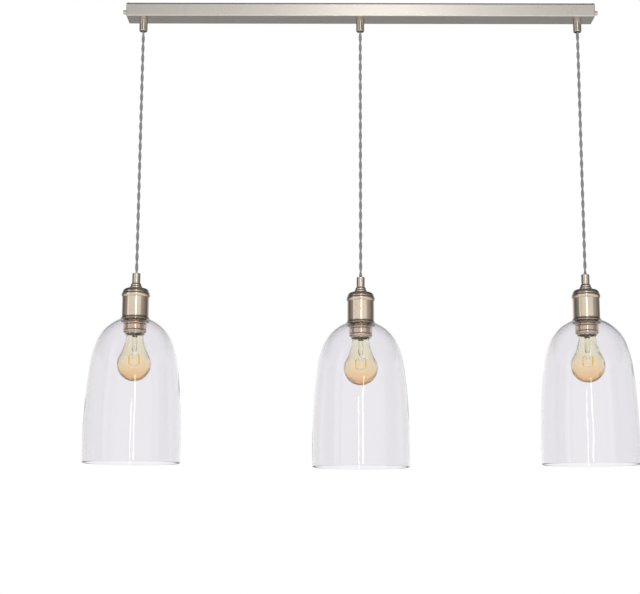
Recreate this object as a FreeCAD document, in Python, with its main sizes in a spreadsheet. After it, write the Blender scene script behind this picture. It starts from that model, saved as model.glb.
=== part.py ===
import FreeCAD, Part
import math
import os
from types import SimpleNamespace

import Sketcher

# A linear island pendant: a long ceiling bar with three glass cloche pendants on twisted cords.
# Millimetres. +Z is up, +X runs along the bar, and -Y is the front. The origin is on the ceiling,
# at the middle of the bracket, so everything hangs below z = 0.

os.makedirs("parts", exist_ok=True)
doc = FreeCAD.newDocument("IslandPendant")

# Every driving dimension: its name, its size and what it measures.
DRIVING_SIZES = [
    ("bar_length", 860, "ceiling bar, end to end"),
    ("bar_width", 40, "ceiling bar, front to back"),
    ("bar_height", 26, "ceiling bar, top to underside"),
    ("bar_wall", 1.2, "sheet of the bar"),
    ("bar_bend", 1.6, "outer radius of the bar's folds"),
    ("end_margin", 30, "from the bar's end to the outer pendants' axes"),
    ("bracket_width", 30, "bracket strip, front to back"),
    ("bracket_wall", 1.5, "steel of the bracket"),
    ("bracket_gap", 0.6, "between each tab and the bar's end"),
    ("tab_drop", 20, "how far the bracket's tabs reach down"),
    ("slot_spacing", 700, "between the two ceiling screw slots"),
    ("slot_radius", 2.5, "half the width of a ceiling screw slot"),
    ("slot_length", 20, "a ceiling screw slot, end to end"),
    ("supply_radius", 9, "hole for the supply cable in the bracket"),
    ("end_screw_drop", 12, "thumb screws, below the ceiling"),
    ("end_screw_radius", 2, "thread of a thumb screw"),
    ("end_screw_head_radius", 3.9, "head of a thumb screw"),
    ("end_screw_head_length", 7.5, "head of a thumb screw, along its axis"),
    ("end_screw_round", 0.8, "rounding of a thumb screw's head"),
    ("end_screw_reach", 5, "thumb screw thread past the tab's outer face"),
    ("end_washer_radius", 4.6, "washer under a thumb screw's head"),
    ("end_washer_thick", 0.6, "that washer's thickness"),
    ("screw_clearance", 0.3, "round a thread that turns"),
    ("fit_gap", 0.3, "between curved faces that move past each other"),
    ("seat_gap", 0.1, "between a stem and the hole that it stands in"),
    ("grip_radius", 7.5, "canopy cord grip"),
    ("grip_length", 23, "canopy cord grip below the bar"),
    ("grip_round", 0.8, "rounding of the grip's lower edge"),
    ("stem_radius", 5, "threaded stem of a grip"),
    ("stem_bore", 3.4, "bore of a canopy grip's stem"),
    ("stem_spare", 1, "stem past its nut"),
    ("mouth_depth", 8, "wider bore at the canopy grip's mouth"),
    ("pivot_depth", 2.2, "where the cord bends, above the grip's mouth"),
    ("bush_radius", 4.6, "round outside of the cord bush"),
    ("bush_bore", 3.7, "bore of the cord bush"),
    ("bush_half_height", 2, "half of the cord bush's height"),
    ("nut_flats", 14, "grip nut across its flats"),
    ("nut_thick", 3, "grip nut"),
    ("grub_radius", 1.5, "grub screw in a canopy grip"),
    ("grub_drop", 9, "grub screw, below the bar"),
    ("driver_slot", 0.7, "width of a screwdriver slot"),
    ("driver_depth", 0.8, "depth of a screwdriver slot"),
    ("cord_radius", 3, "outside of the two twisted strands"),
    ("cord_free", 455, "side cords, from grip to holder"),
    ("middle_extra", 6, "how much longer the middle cord is"),
    ("core_radius", 1.2, "one insulated core of a cord"),
    ("core_offset", 1.4, "a core's middle from the cord's"),
    ("block_centre", 60, "terminal block, right of the middle"),
    ("block_depth", 18, "terminal block along the bar"),
    ("block_width", 31, "terminal block across the bar"),
    ("block_height", 14, "terminal block, top to bottom"),
    ("pole_pitch", 10.5, "from one pole of the block to the next"),
    ("entry_height", 4.2, "a pole's wire entry, top to bottom"),
    ("entry_width", 7.6, "a pole's wire entry, across the bar"),
    ("entry_depth", 6, "depth of a pole's wire entry"),
    ("entry_drop", 7, "wire entries, below the block's top"),
    ("wire_room", 1, "from a wire's end to the bottom of its entry"),
    ("clamp_radius", 1.8, "clamp screw of the block"),
    ("clamp_length", 4, "clamp screw, along its axis"),
    ("clamp_offset", 5, "clamp screws, from the block's middle"),
    ("clamp_recess", 0.8, "clamp screw heads, above the block's underside"),
    ("earth_place", 95, "earth screw, right of the middle"),
    ("earth_radius", 3.5, "earth screw's head"),
    ("earth_head", 2.4, "earth screw's head, top to bottom"),
    ("tube_radius", 7.3, "holder's cord tube"),
    ("tube_length", 18, "holder's cord tube"),
    ("upper_step_radius", 9.5, "upper step of the holder's cone"),
    ("lower_step_radius", 11.2, "lower step of the holder's cone"),
    ("upper_step_height", 4.4, "upper step, top to bottom"),
    ("lower_step_height", 5.1, "lower step, top to bottom"),
    ("step_ease", 0.9, "easing of the tube's end and the steps' edges"),
    ("step_bevel", 1.7, "height of the steps' bevels"),
    ("grip_bore", 3.3, "cord's bore through the holder's tube"),
    ("holder_stem", 4.5, "stem of the tube inside the cap"),
    ("body_radius", 23.9, "holder's body"),
    ("body_wall", 1.2, "metal of the holder"),
    ("dome_round", 7.9, "rounding of the cap's dome"),
    ("cap_height", 16, "cap, top to its lower edge"),
    ("cap_boss", 3, "thickness of the cap's top"),
    ("lining_round", 4, "rounding inside the cap's top"),
    ("bead_half_height", 3.9, "half the height of the cap's bead"),
    ("bead_stand", 1.7, "how far the bead stands out"),
    ("spigot_length", 5.5, "cap's spigot inside the body"),
    ("body_height", 33.5, "body, from the cap to the flare"),
    ("flare_height", 5, "flare above the foot's edge"),
    ("foot_radius", 26.3, "foot on the glass"),
    ("foot_edge", 1, "height of the foot's edge"),
    ("neck_radius", 17.6, "threaded neck through the glass"),
    ("neck_length", 26.5, "neck below the foot"),
    ("neck_lip", 0.6, "rounding of the neck's end"),
    ("ceramic_top_radius", 18, "ceramic core, upper part"),
    ("ceramic_flange_radius", 22.2, "ceramic core's flange"),
    ("ceramic_barrel_radius", 16.1, "ceramic core in the neck"),
    ("ceramic_top_height", 14, "upper part of the ceramic core"),
    ("ceramic_flange_height", 9, "flange of the ceramic core"),
    ("ceramic_recess", 1.5, "ceramic core's end inside the neck"),
    ("socket_bore", 14.9, "hole in the ceramic core"),
    ("socket_room", 5, "from the lamp's tip to the roof of that hole"),
    ("thread_radius", 13.05, "crest of the lamp cap's thread"),
    ("thread_depth", 0.75, "crest to root of that thread"),
    ("thread_pitch", 3.6, "pitch of that thread"),
    ("shell_sheet", 0.5, "sheet of the screw shell"),
    ("contact_width", 6, "centre contact, front to back"),
    ("contact_sheet", 0.4, "sheet of the centre contact"),
    ("contact_half_length", 9, "centre contact, middle to end"),
    ("contact_pad", 1.5, "half of the centre contact's flat above the lamp's tip"),
    ("contact_lift", 1.2, "how far the centre contact's free end turns up"),
    ("shade_radius", 84, "glass shade at its rim"),
    ("shade_height", 253, "glass shade, top to rim"),
    ("shade_wall", 3, "glass of the shade"),
    ("shade_hole", 18.2, "hole in the top of the shade"),
    ("shade_seat", 26, "flat top of the shade"),
    ("shade_start", 20.8, "degrees that the glass falls from its seat"),
    ("shoulder_radius", 70, "upper curve of the shade"),
    ("shoulder_end", 67.6, "degrees where that curve ends"),
    ("side_radius", 161, "next curve of the shade"),
    ("side_end", 82.7, "degrees where that curve ends"),
    ("ring_radius", 20.6, "shade ring"),
    ("ring_height", 20.5, "shade ring, top to bottom"),
    ("ring_groove", 1, "depth of the shade ring's grooves"),
    ("ring_groove_width", 1.6, "width of those grooves"),
    ("upper_groove", 3.5, "upper groove, below the ring's top"),
    ("lower_groove", 10.3, "lower groove, below the ring's top"),
    ("ring_bevel", 0.5, "bevel round the ring's top"),
    ("lamp_radius", 30, "lamp's bulb at its widest"),
    ("lamp_drop", 53.5, "lamp's centre below the neck's mouth"),
    ("lamp_blend", 30, "degrees where the bulb turns into its neck"),
    ("lamp_neck_radius", 16, "lamp's neck"),
    ("lamp_base_radius", 12.9, "lamp's glass inside its cap"),
    ("lamp_base_lift", 3, "cap's lower edge above the neck's mouth"),
    ("lamp_shoulder", 5, "height of the glass between cap and neck"),
    ("lamp_glass", 0.9, "glass of the lamp"),
    ("cap_length", 21.5, "metal cap of the lamp"),
    ("cap_sheet", 0.4, "sheet of the lamp's cap"),
    ("skirt_height", 2.2, "plain lower edge of the lamp's cap"),
    ("tip_height", 3.6, "insulator and tip above the cap"),
    ("insulator_height", 2, "insulator alone above the cap"),
    ("insulator_margin", 1.2, "from the cap's thread to the insulator's edge"),
    ("tip_radius", 5, "solder tip of the lamp"),
    ("mount_radius", 5, "glass stem inside the lamp"),
    ("mount_length", 34, "that stem, below the cap"),
    ("support_height", 7, "upper wires, above the stem's lower end"),
    ("support_hold", 1.5, "how far those wires start inside the stem"),
    ("stick_radius", 0.9, "light filament"),
    ("stick_length", 30, "light filament"),
    ("stick_offset", 8, "light filament from the lamp's axis"),
    ("wire_radius", 0.35, "wires that hold the filaments"),
]


class Size:
    """A length with its value and the sheet expression that gives it."""

    def __init__(self, value, text):
        self.value = float(value)
        self.text = text

    def __add__(self, other):
        other = as_size(other)
        return Size(self.value + other.value, f"({self.text} + {other.text})")

    def __radd__(self, other):
        return as_size(other) + self

    def __sub__(self, other):
        other = as_size(other)
        return Size(self.value - other.value, f"({self.text} - {other.text})")

    def __rsub__(self, other):
        return as_size(other) - self

    def __mul__(self, other):
        other = as_size(other)
        return Size(self.value * other.value, f"({self.text} * {other.text})")

    def __rmul__(self, other):
        return as_size(other) * self

    def __truediv__(self, other):
        other = as_size(other)
        return Size(self.value / other.value, f"({self.text} / {other.text})")

    def __neg__(self):
        return Size(-self.value, f"(0 - {self.text})")


def as_size(number):
    """The number itself as a Size, if it isn't one already."""
    if isinstance(number, Size):
        return number
    return Size(number, f"({float(number)!r})")


def sine(angle):
    return Size(math.sin(math.radians(angle.value)), f"sin({angle.text})")


def cosine(angle):
    return Size(math.cos(math.radians(angle.value)), f"cos({angle.text})")


def square_root(area):
    return Size(math.sqrt(area.value), f"sqrt({area.text})")


def length_of(size):
    """The size without its sign."""
    return Size(abs(size.value), f"abs({size.text})")


sheet = doc.addObject("Spreadsheet::Sheet", "Sizes")
for row, (alias, number, meaning) in enumerate(DRIVING_SIZES, start=1):
    sheet.set(f"A{row}", str(number))
    sheet.setAlias(f"A{row}", alias)
    sheet.set(f"B{row}", meaning)
doc.recompute()
S = SimpleNamespace(**{alias: Size(sheet.get(alias), f"Sizes.{alias}") for alias, _, _ in DRIVING_SIZES})

SIDES = {"left": -1, "middle": 0, "right": 1}
POLES = 3
THREAD_RINGS = 5
parts = {}
bound_constraints = []


# ---- How pieces are drawn

def new_body(label):
    """An empty body whose label is the node's name."""
    body = doc.addObject("PartDesign::Body", label)
    body.Label = label
    parts[label] = body
    return body


def origin_part(body, role):
    """One of the body's own planes or axes."""
    return next(feature for feature in body.Origin.OriginFeatures if feature.Role == role)


def new_sketch(body, plane, name):
    """A sketch on one of the body's own planes."""
    sketch = body.newObject("Sketcher::SketchObject", name)
    sketch.AttachmentSupport = [(origin_part(body, plane), "")]
    sketch.MapMode = "FlatFace"
    return sketch


def bind(sketch, constraint, name, size):
    """Adds a constraint whose length follows a size of the sheet."""
    index = sketch.addConstraint(constraint)
    sketch.renameConstraint(index, name)
    sketch.setExpression(f"Constraints.{name}", size.text)
    bound_constraints.append((sketch, name, size.value))


def arc_through(start, end, radius):
    """The short arc from start to end. A positive radius turns left on the way."""
    chord = end - start
    middle = (start + end) / 2
    left = FreeCAD.Vector(-chord.y, chord.x, 0).normalize()
    height = math.sqrt(max(radius ** 2 - (chord.Length / 2) ** 2, 0))
    centre = middle + left * math.copysign(height, radius)
    circle = Part.Circle(centre, FreeCAD.Vector(0, 0, 1), abs(radius))
    angles = [math.atan2(point.y - centre.y, point.x - centre.x) for point in (start, end)]
    if radius < 0:
        angles.reverse()
    return Part.ArcOfCircle(circle, *angles)


def draw_outline(sketch, corners, prefix="p"):
    """Closes a loop through the corners, each (across, up) or (across, up, radius).
    With a radius, an arc leads to that corner: left turning if positive, right turning if negative."""
    corners = [tuple(as_size(size) for size in corner) for corner in corners]
    points = [FreeCAD.Vector(corner[0].value, corner[1].value, 0) for corner in corners]
    first = sketch.GeometryCount
    starts, ends = [], []
    for index, corner in enumerate(corners):
        begin, finish = points[index - 1], points[index]
        if len(corner) == 3:
            sketch.addGeometry(arc_through(begin, finish, corner[2].value))
            backwards = corner[2].value < 0
        else:
            sketch.addGeometry(Part.LineSegment(begin, finish))
            backwards = False
        starts.append(2 if backwards else 1)
        ends.append(1 if backwards else 2)
    joints = [Sketcher.Constraint("Coincident", first + index - 1 if index else first + len(corners) - 1,
                                  ends[index - 1], first + index, starts[index])
              for index in range(len(corners))]
    sketch.addConstraint(joints)
    for index, corner in enumerate(corners):
        segment = first + index
        across = Sketcher.Constraint("DistanceX", -1, 1, segment, ends[index], points[index].x)
        bind(sketch, across, f"{prefix}{index}x", corner[0])
        up = Sketcher.Constraint("DistanceY", -1, 1, segment, ends[index], points[index].y)
        bind(sketch, up, f"{prefix}{index}y", corner[1])
        if len(corner) == 3:
            size = length_of(corner[2])
            bind(sketch, Sketcher.Constraint("Radius", segment, size.value), f"{prefix}{index}r", size)


def draw_circle(sketch, across, up, radius, prefix="c"):
    """A circle about a point."""
    across, up, radius = as_size(across), as_size(up), as_size(radius)
    centre = FreeCAD.Vector(across.value, up.value, 0)
    index = sketch.addGeometry(Part.Circle(centre, FreeCAD.Vector(0, 0, 1), radius.value))
    bind(sketch, Sketcher.Constraint("DistanceX", -1, 1, index, 3, centre.x), f"{prefix}x", across)
    bind(sketch, Sketcher.Constraint("DistanceY", -1, 1, index, 3, centre.y), f"{prefix}y", up)
    bind(sketch, Sketcher.Constraint("Radius", index, radius.value), f"{prefix}r", radius)


def rectangle(left, low, right, high):
    return [(left, low), (right, low), (right, high), (left, high)]


def slot(left, right, up, radius):
    """A round-ended slot along the sketch's first axis, from end to end."""
    return [(left + radius, up - radius, radius), (right - radius, up - radius), (right, up, radius),
            (right - radius, up + radius, radius), (left + radius, up + radius), (left, up, radius)]


def turn(label, corners):
    """A body turned about Z from its half outline, given as (radius, height)."""
    body = new_body(label)
    sketch = new_sketch(body, "XZ_Plane", f"{label}_outline")
    draw_outline(sketch, corners)
    feature = body.newObject("PartDesign::Revolution", f"{label}_turned")
    feature.Profile = sketch
    feature.ReferenceAxis = (sketch, ["V_Axis"])
    feature.Angle = 360
    body.Tip = feature
    return body


def pad(body, sketch, length, down=False, both_ways=False):
    """Grows a sketch into a solid, up along the sketch's normal unless told otherwise."""
    feature = body.newObject("PartDesign::Pad", f"{sketch.Name}_pad")
    feature.Profile = sketch
    feature.Reversed = down
    feature.Midplane = both_ways
    feature.setExpression("Length", as_size(length).text)
    body.Tip = feature
    return feature


def pocket(body, sketch, length, up=False, both_ways=False):
    """Cuts a sketch out of the body, against the sketch's normal unless told otherwise."""
    feature = body.newObject("PartDesign::Pocket", f"{sketch.Name}_pocket")
    feature.Profile = sketch
    feature.Reversed = up
    feature.Midplane = both_ways
    feature.setExpression("Length", as_size(length).text)
    body.Tip = feature
    return feature


def repeat(body, feature, axis, span, count):
    """Repeats a feature along an axis, span from the first to the last."""
    feature_row = body.newObject("PartDesign::LinearPattern", f"{feature.Name}_row")
    feature_row.Originals = [feature]
    feature_row.Direction = (origin_part(body, axis), [""])
    feature_row.setExpression("Length", as_size(span).text)
    feature_row.Occurrences = count
    body.Tip = feature_row
    return feature_row


def place(part, across=0, front_to_back=0, up=0):
    """Puts a piece where it belongs."""
    for axis, size in (("x", across), ("y", front_to_back), ("z", up)):
        part.setExpression(f"Placement.Base.{axis}", as_size(size).text)


# ---- Heights, all below the ceiling, and below the holder's top within a pendant

bar_floor = -S.bar_height + S.bar_wall
grip_mouth = -S.bar_height - S.grip_length
pivot_height = grip_mouth + S.pivot_depth
nut_top = bar_floor + S.nut_thick
stem_top = nut_top + S.stem_spare
half_bar = S.bar_length / 2
pendant_spacing = half_bar - S.end_margin

cone_top = -S.tube_length
step_height = cone_top - S.upper_step_height
cap_top = step_height - S.lower_step_height
cap_foot = cap_top - S.cap_height
flare_top = cap_foot - S.body_height
foot_top = flare_top - S.flare_height
foot = foot_top - S.foot_edge
neck_mouth = foot - S.neck_length
ring_top = foot - S.shade_wall
flange_foot = foot + S.body_wall
flange_top = flange_foot + S.ceramic_flange_height
ceramic_top = flange_top + S.ceramic_top_height
lamp_base = neck_mouth + S.lamp_base_lift
cap_end = lamp_base + S.cap_length
lamp_tip = cap_end + S.tip_height
socket_roof = lamp_tip + S.socket_room
lamp_centre = neck_mouth - S.lamp_drop


def holder_height(side):
    """Height of a holder's top: the middle pendant hangs a little lower."""
    if side == "middle":
        return grip_mouth - S.cord_free - S.middle_extra
    return grip_mouth - S.cord_free


def hang(part, side):
    """Puts a piece drawn about its pendant's axis under that pendant's cord."""
    place(part, pendant_spacing * SIDES[side], 0, holder_height(side))


# ---- The ceiling bar and its fastenings

def make_ceiling_bar():
    """A box of folded sheet, open at the top."""
    body = new_body("ceiling_bar")
    outside = new_sketch(body, "XY_Plane", "bar_outside")
    draw_outline(outside, rectangle(-half_bar, -S.bar_width / 2, half_bar, S.bar_width / 2))
    block = pad(body, outside, S.bar_height, down=True)
    doc.recompute()
    folds = [f"Edge{number}" for number, edge in enumerate(block.Shape.Edges, start=1)
             if edge.BoundBox.ZMin < -S.bar_height.value / 4]
    rounded = body.newObject("PartDesign::Fillet", "bar_folds")
    rounded.Base = (block, folds)
    rounded.setExpression("Radius", S.bar_bend.text)
    inside = new_sketch(body, "XY_Plane", "bar_inside")
    draw_outline(inside, rectangle(-half_bar + S.bar_wall, -S.bar_width / 2 + S.bar_wall,
                                   half_bar - S.bar_wall, S.bar_width / 2 - S.bar_wall))
    pocket(body, inside, S.bar_height - S.bar_wall)
    grip_hole = new_sketch(body, "XY_Plane", "grip_hole")
    draw_circle(grip_hole, -pendant_spacing, 0, S.stem_radius + S.seat_gap)
    hole = pocket(body, grip_hole, S.bar_height)
    repeat(body, hole, "X_Axis", 2 * pendant_spacing, len(SIDES))
    screw_hole = new_sketch(body, "YZ_Plane", "screw_hole")
    draw_circle(screw_hole, 0, -S.end_screw_drop, S.end_screw_radius + S.screw_clearance)
    pocket(body, screw_hole, S.bar_length + S.bar_wall, both_ways=True)


def make_ceiling_bracket():
    """A steel strip on the ceiling with a tapped tab turned down at each end."""
    body = new_body("ceiling_bracket")
    half_length = half_bar - S.bar_wall - S.bracket_gap
    half_width = S.bracket_width / 2
    strip = new_sketch(body, "XY_Plane", "strip")
    draw_outline(strip, rectangle(-half_length, -half_width, half_length, half_width))
    draw_circle(strip, 0, 0, S.supply_radius)
    for side, sign in (("left", -1), ("right", 1)):
        centre, half_slot = S.slot_spacing / 2 * sign, S.slot_length / 2
        draw_outline(strip, slot(centre - half_slot, centre + half_slot, 0, S.slot_radius), f"{side}_slot")
    pad(body, strip, S.bracket_wall, down=True)
    for side, sign in (("left", -1), ("right", 1)):
        tab = new_sketch(body, "XY_Plane", f"{side}_tab")
        near, far = sign * (half_length - S.bracket_wall), sign * half_length
        draw_outline(tab, rectangle(near, -half_width, far, half_width))
        pad(body, tab, S.tab_drop, down=True)
    tapping = new_sketch(body, "YZ_Plane", "tapping")
    draw_circle(tapping, 0, -S.end_screw_drop, S.end_screw_radius + S.seat_gap)
    pocket(body, tapping, S.bar_length, both_ways=True)


def make_end_screws():
    """Thumb screws through the bar's ends into the bracket's tabs, each with a washer."""
    washer_face = half_bar
    head_face = washer_face + S.end_washer_thick
    head_end = head_face + S.end_screw_head_length
    thread_end = half_bar - S.bar_wall - S.bracket_gap - S.end_screw_reach
    rim = S.end_screw_round
    screw_outline = [(0, thread_end), (S.end_screw_radius, thread_end), (S.end_screw_radius, head_face),
                     (S.end_screw_head_radius - rim / 2, head_face),
                     (S.end_screw_head_radius, head_face + rim / 2),
                     (S.end_screw_head_radius, head_end - rim),
                     (S.end_screw_head_radius - rim, head_end, rim),
                     (0, head_end)]
    washer_bore = S.end_screw_radius + S.fit_gap
    washer_outline = [(washer_bore, washer_face), (S.end_washer_radius, washer_face),
                      (S.end_washer_radius, head_face), (washer_bore, head_face)]
    for side, angle in (("left", -90), ("right", 90)):
        for label, outline in (("end_screw", screw_outline), ("end_washer", washer_outline)):
            piece = turn(f"{side}_{label}", outline)
            piece.Placement = FreeCAD.Placement(FreeCAD.Vector(0, 0, 0),
                                                FreeCAD.Rotation(FreeCAD.Vector(0, 1, 0), angle))
            place(piece, 0, 0, -S.end_screw_drop)


def make_canopy_grip(side):
    """A metal cord grip: a stem through the bar, a plain barrel and a wider mouth."""
    barrel, bore = S.grip_radius, S.stem_bore
    mouth_radius = S.bush_radius + S.fit_gap
    mouth_top = grip_mouth + S.mouth_depth
    body = turn(f"{side}_canopy_grip", [
        (bore, stem_top), (bore, mouth_top), (mouth_radius, mouth_top), (mouth_radius, grip_mouth),
        (barrel - S.grip_round, grip_mouth), (barrel, grip_mouth + S.grip_round, S.grip_round),
        (barrel, -S.bar_height), (S.stem_radius, -S.bar_height), (S.stem_radius, stem_top)])
    tapping = new_sketch(body, "XZ_Plane", f"{side}_grub_hole")
    draw_circle(tapping, 0, -S.bar_height - S.grub_drop, S.grub_radius + S.seat_gap)
    pocket(body, tapping, S.grip_radius)
    place(body, pendant_spacing * SIDES[side])


def make_grip_nuts():
    """Hexagon nuts on the grips' stems, inside the bar."""
    body = new_body("grip_nuts")
    corner = S.nut_flats / math.sqrt(3)
    flat = S.nut_flats / 2
    sketch = new_sketch(body, "XY_Plane", "nut")
    middle = -pendant_spacing
    draw_outline(sketch, [(middle + corner, 0), (middle + corner / 2, flat), (middle - corner / 2, flat),
                          (middle - corner, 0), (middle - corner / 2, -flat), (middle + corner / 2, -flat)])
    draw_circle(sketch, middle, 0, S.stem_radius + S.seat_gap)
    nut = pad(body, sketch, S.nut_thick)
    repeat(body, nut, "X_Axis", 2 * pendant_spacing, len(SIDES))
    place(body, 0, 0, bar_floor)


def make_grip_grub_screws():
    """Slotted grub screws in the backs of the grips, which pinch the cords."""
    body = new_body("grip_grub_screws")
    sketch = new_sketch(body, "XZ_Plane", "grub")
    draw_circle(sketch, -pendant_spacing, 0, S.grub_radius)
    outer_end = S.grip_radius - S.seat_gap
    grub = pad(body, sketch, outer_end - S.core_offset - S.core_radius - S.seat_gap)
    repeat(body, grub, "X_Axis", 2 * pendant_spacing, len(SIDES))
    driver_slot = new_sketch(body, "XY_Plane", "grub_slot")
    draw_outline(driver_slot, rectangle(-half_bar, -S.driver_depth, half_bar, S.driver_depth))
    pocket(body, driver_slot, S.driver_slot, both_ways=True)
    place(body, 0, outer_end, -S.bar_height - S.grub_drop)


def make_terminal_block():
    """A three-pole connector block under the bracket, wired from both sides."""
    body = new_body("terminal_block")
    half_depth, half_width = S.block_depth / 2, S.block_width / 2
    outside = new_sketch(body, "XY_Plane", "block")
    draw_outline(outside, rectangle(-half_depth, -half_width, half_depth, half_width))
    pad(body, outside, S.block_height, down=True)
    for side, sign in (("left", -1), ("right", 1)):
        face, back = sign * half_depth, sign * (half_depth - S.entry_depth)
        entry = new_sketch(body, "XY_Plane", f"{side}_entry")
        low = -S.pole_pitch - S.entry_width / 2
        draw_outline(entry, rectangle(face, low, back, low + S.entry_width))
        entry.setExpression("AttachmentOffset.Base.z", (-S.entry_drop + S.entry_height / 2).text)
        hole = pocket(body, entry, S.entry_height)
        repeat(body, hole, "Y_Axis", 2 * S.pole_pitch, POLES)
        well = new_sketch(body, "XY_Plane", f"{side}_well")
        draw_circle(well, sign * S.clamp_offset, -S.pole_pitch, S.clamp_radius + S.seat_gap)
        well.setExpression("AttachmentOffset.Base.z", (-S.block_height).text)
        clamp = pocket(body, well, S.clamp_recess + S.clamp_length, up=True)
        repeat(body, clamp, "Y_Axis", 2 * S.pole_pitch, POLES)
    place(body, S.block_centre, 0, -S.bracket_wall)


def make_terminal_screws():
    """Slotted clamp screws in the block's underside."""
    body = new_body("terminal_screws")
    first = new_sketch(body, "XY_Plane", "clamp")
    draw_circle(first, -S.clamp_offset, -S.pole_pitch, S.clamp_radius)
    screw = pad(body, first, S.clamp_length)
    columns = body.newObject("PartDesign::LinearPattern", "clamp_columns")
    columns.Direction = (origin_part(body, "X_Axis"), [""])
    columns.setExpression("Length", (2 * S.clamp_offset).text)
    columns.Occurrences = 2
    rows = body.newObject("PartDesign::LinearPattern", "clamp_rows")
    rows.Direction = (origin_part(body, "Y_Axis"), [""])
    rows.setExpression("Length", (2 * S.pole_pitch).text)
    rows.Occurrences = POLES
    grid = body.newObject("PartDesign::MultiTransform", "clamp_grid")
    grid.Originals = [screw]
    grid.Transformations = [columns, rows]
    body.Tip = grid
    cut = new_sketch(body, "YZ_Plane", "clamp_slot")
    draw_outline(cut, rectangle(-S.block_width, -S.driver_depth, S.block_width, S.driver_depth))
    cut.setExpression("AttachmentOffset.Base.z", (-S.clamp_offset).text)
    groove = pocket(body, cut, S.driver_slot, both_ways=True)
    repeat(body, groove, "X_Axis", 2 * S.clamp_offset, 2)
    place(body, S.block_centre, 0, -S.bracket_wall - S.block_height + S.clamp_recess)


def make_earth_screw():
    """The earth terminal under the bracket: a slotted pan head."""
    head = S.earth_head
    body = turn("earth_screw", [
        (0, 0), (0, -head), (S.earth_radius - head / 2, -head),
        (S.earth_radius, -head / 2, head / 2), (S.earth_radius, 0)])
    cut = new_sketch(body, "XY_Plane", "earth_slot")
    half_slot = S.driver_slot / 2
    draw_outline(cut, rectangle(-S.earth_radius, -half_slot, S.earth_radius, half_slot))
    cut.setExpression("AttachmentOffset.Base.z", (-head).text)
    pocket(body, cut, S.driver_depth, up=True)
    place(body, S.earth_place, 0, -S.bracket_wall)


# ---- Wiring inside the bar

def round_wire(points):
    """Straight runs joined by tangent arcs, each arc as large as its two runs allow."""
    points = [FreeCAD.Vector(*point) for point in points]
    edges, radii = [], []
    last = points[0]
    for before, corner, after in zip(points, points[1:], points[2:]):
        towards, away = corner - before, after - corner
        half_turn = towards.getAngle(away) / 2
        trim = 0.45 * min(towards.Length, away.Length)
        radii.append(trim / math.tan(half_turn))
        start = corner - towards.normalize() * trim
        end = corner + away.normalize() * trim
        inwards = ((start + end) / 2 - corner).normalize()
        summit = corner + inwards * (trim / math.sin(half_turn) - radii[-1])
        edges.append(Part.LineSegment(last, start).toShape())
        edges.append(Part.Arc(start, summit, end).toShape())
        last = end
    edges.append(Part.LineSegment(last, points[-1]).toShape())
    return Part.Wire(edges), radii


def tube_along(points, radius):
    """A plain round tube along a route."""
    route, radii = round_wire(points)
    direction = route.Edges[0].tangentAt(route.Edges[0].FirstParameter)
    section = Part.Wire(Part.Circle(FreeCAD.Vector(*points[0]), direction, radius).toShape())
    tube = route.makePipeShell([section], True, False)
    share = tube.Volume / (math.pi * radius ** 2 * route.Length)
    print(f"tube: length {route.Length:.1f}, least radius {min(radii):.1f}, volume {share:.4f}")
    return tube


def lead_route(side, lane):
    """One core's way from its grip to the block. Lane is -1 on the front side and 1 on the back."""
    foot_of_lead = (pivot_height + S.cord_radius + 2 * S.fit_gap).value
    floor = (bar_floor + S.core_radius + S.fit_gap).value
    entry = (-S.bracket_wall - S.entry_drop).value
    x = pendant_spacing.value * SIDES[side]
    y = S.core_offset.value
    inlet = S.core_radius.value + S.fit_gap.value / 2
    pole = S.pole_pitch.value
    left_face = (S.block_centre - S.block_depth / 2).value
    right_face = (S.block_centre + S.block_depth / 2).value
    inside = (S.entry_depth - S.wire_room).value
    riser = [(x, y, foot_of_lead), (x, y, -6.5)]
    if side == "middle":
        riser.insert(1, (x + 0.25, y, -25))
        over = [(x + 19, y + 2.5, -6.9), (x + 37.5, pole - inlet - 0.8, entry + 0.6)]
        inlet_points = [(left_face + inside, pole - inlet, entry)]
    elif side == "left":
        way = left_face - x
        along_floor = [
            (x + share * way, y + drift, floor) for share, drift in (
                (0.217, 10.8), (0.317, 12.9), (0.428, 12.2), (0.543, 13.1), (0.665, 12.4), (0.776, 12.9))]
        over = [(x + 37, y + 2.8, -6.9), (x + 66, y + 7.4, floor + 4), *along_floor,
                (x + 0.869 * way, y + 12, floor + 0.6),
                (left_face - 20, pole + inlet + 0.9, entry - 3.2)]
        inlet_points = [(left_face + inside, pole + inlet, entry)]
    else:
        way = right_face - x
        along_floor = [
            (x + share * way, y + drift, floor) for share, drift in (
                (0.296, 10.9), (0.435, 12.9), (0.586, 12.1), (0.725, 12.8))]
        over = [(x - 37, y + 2.9, -6.8), (x - 65, y + 7.5, floor + 4.1), *along_floor,
                (x + 0.834 * way, y + 12, floor + 0.9),
                (right_face + 19, pole + 1, entry - 3)]
        inlet_points = [(right_face - inside, pole, entry)]
    route = riser + over + inlet_points
    return [(along, lane * across, up) for along, across, up in route]


def make_leads(side):
    """The two cores of one cord, inside the bar."""
    tubes = [tube_along(lead_route(side, lane), S.core_radius.value) for lane in (-1, 1)]
    label = f"{side}_leads"
    feature = doc.addObject("Part::Feature", label)
    feature.Label = label
    feature.Shape = Part.makeCompound(tubes)
    parts[label] = feature


# ---- One pendant, drawn about its axis with z = 0 at the top of its holder

def make_cord_bush(side):
    """A soft bush in the grip's mouth, round outside so that it can rock."""
    ball, bore, half_height = S.bush_radius, S.bush_bore, S.bush_half_height
    edge = square_root(ball * ball - half_height * half_height)
    body = turn(f"{side}_cord_bush", [
        (bore, half_height), (bore, -half_height), (edge, -half_height), (edge, half_height, ball)])
    place(body, pendant_spacing * SIDES[side], 0, pivot_height)


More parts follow.
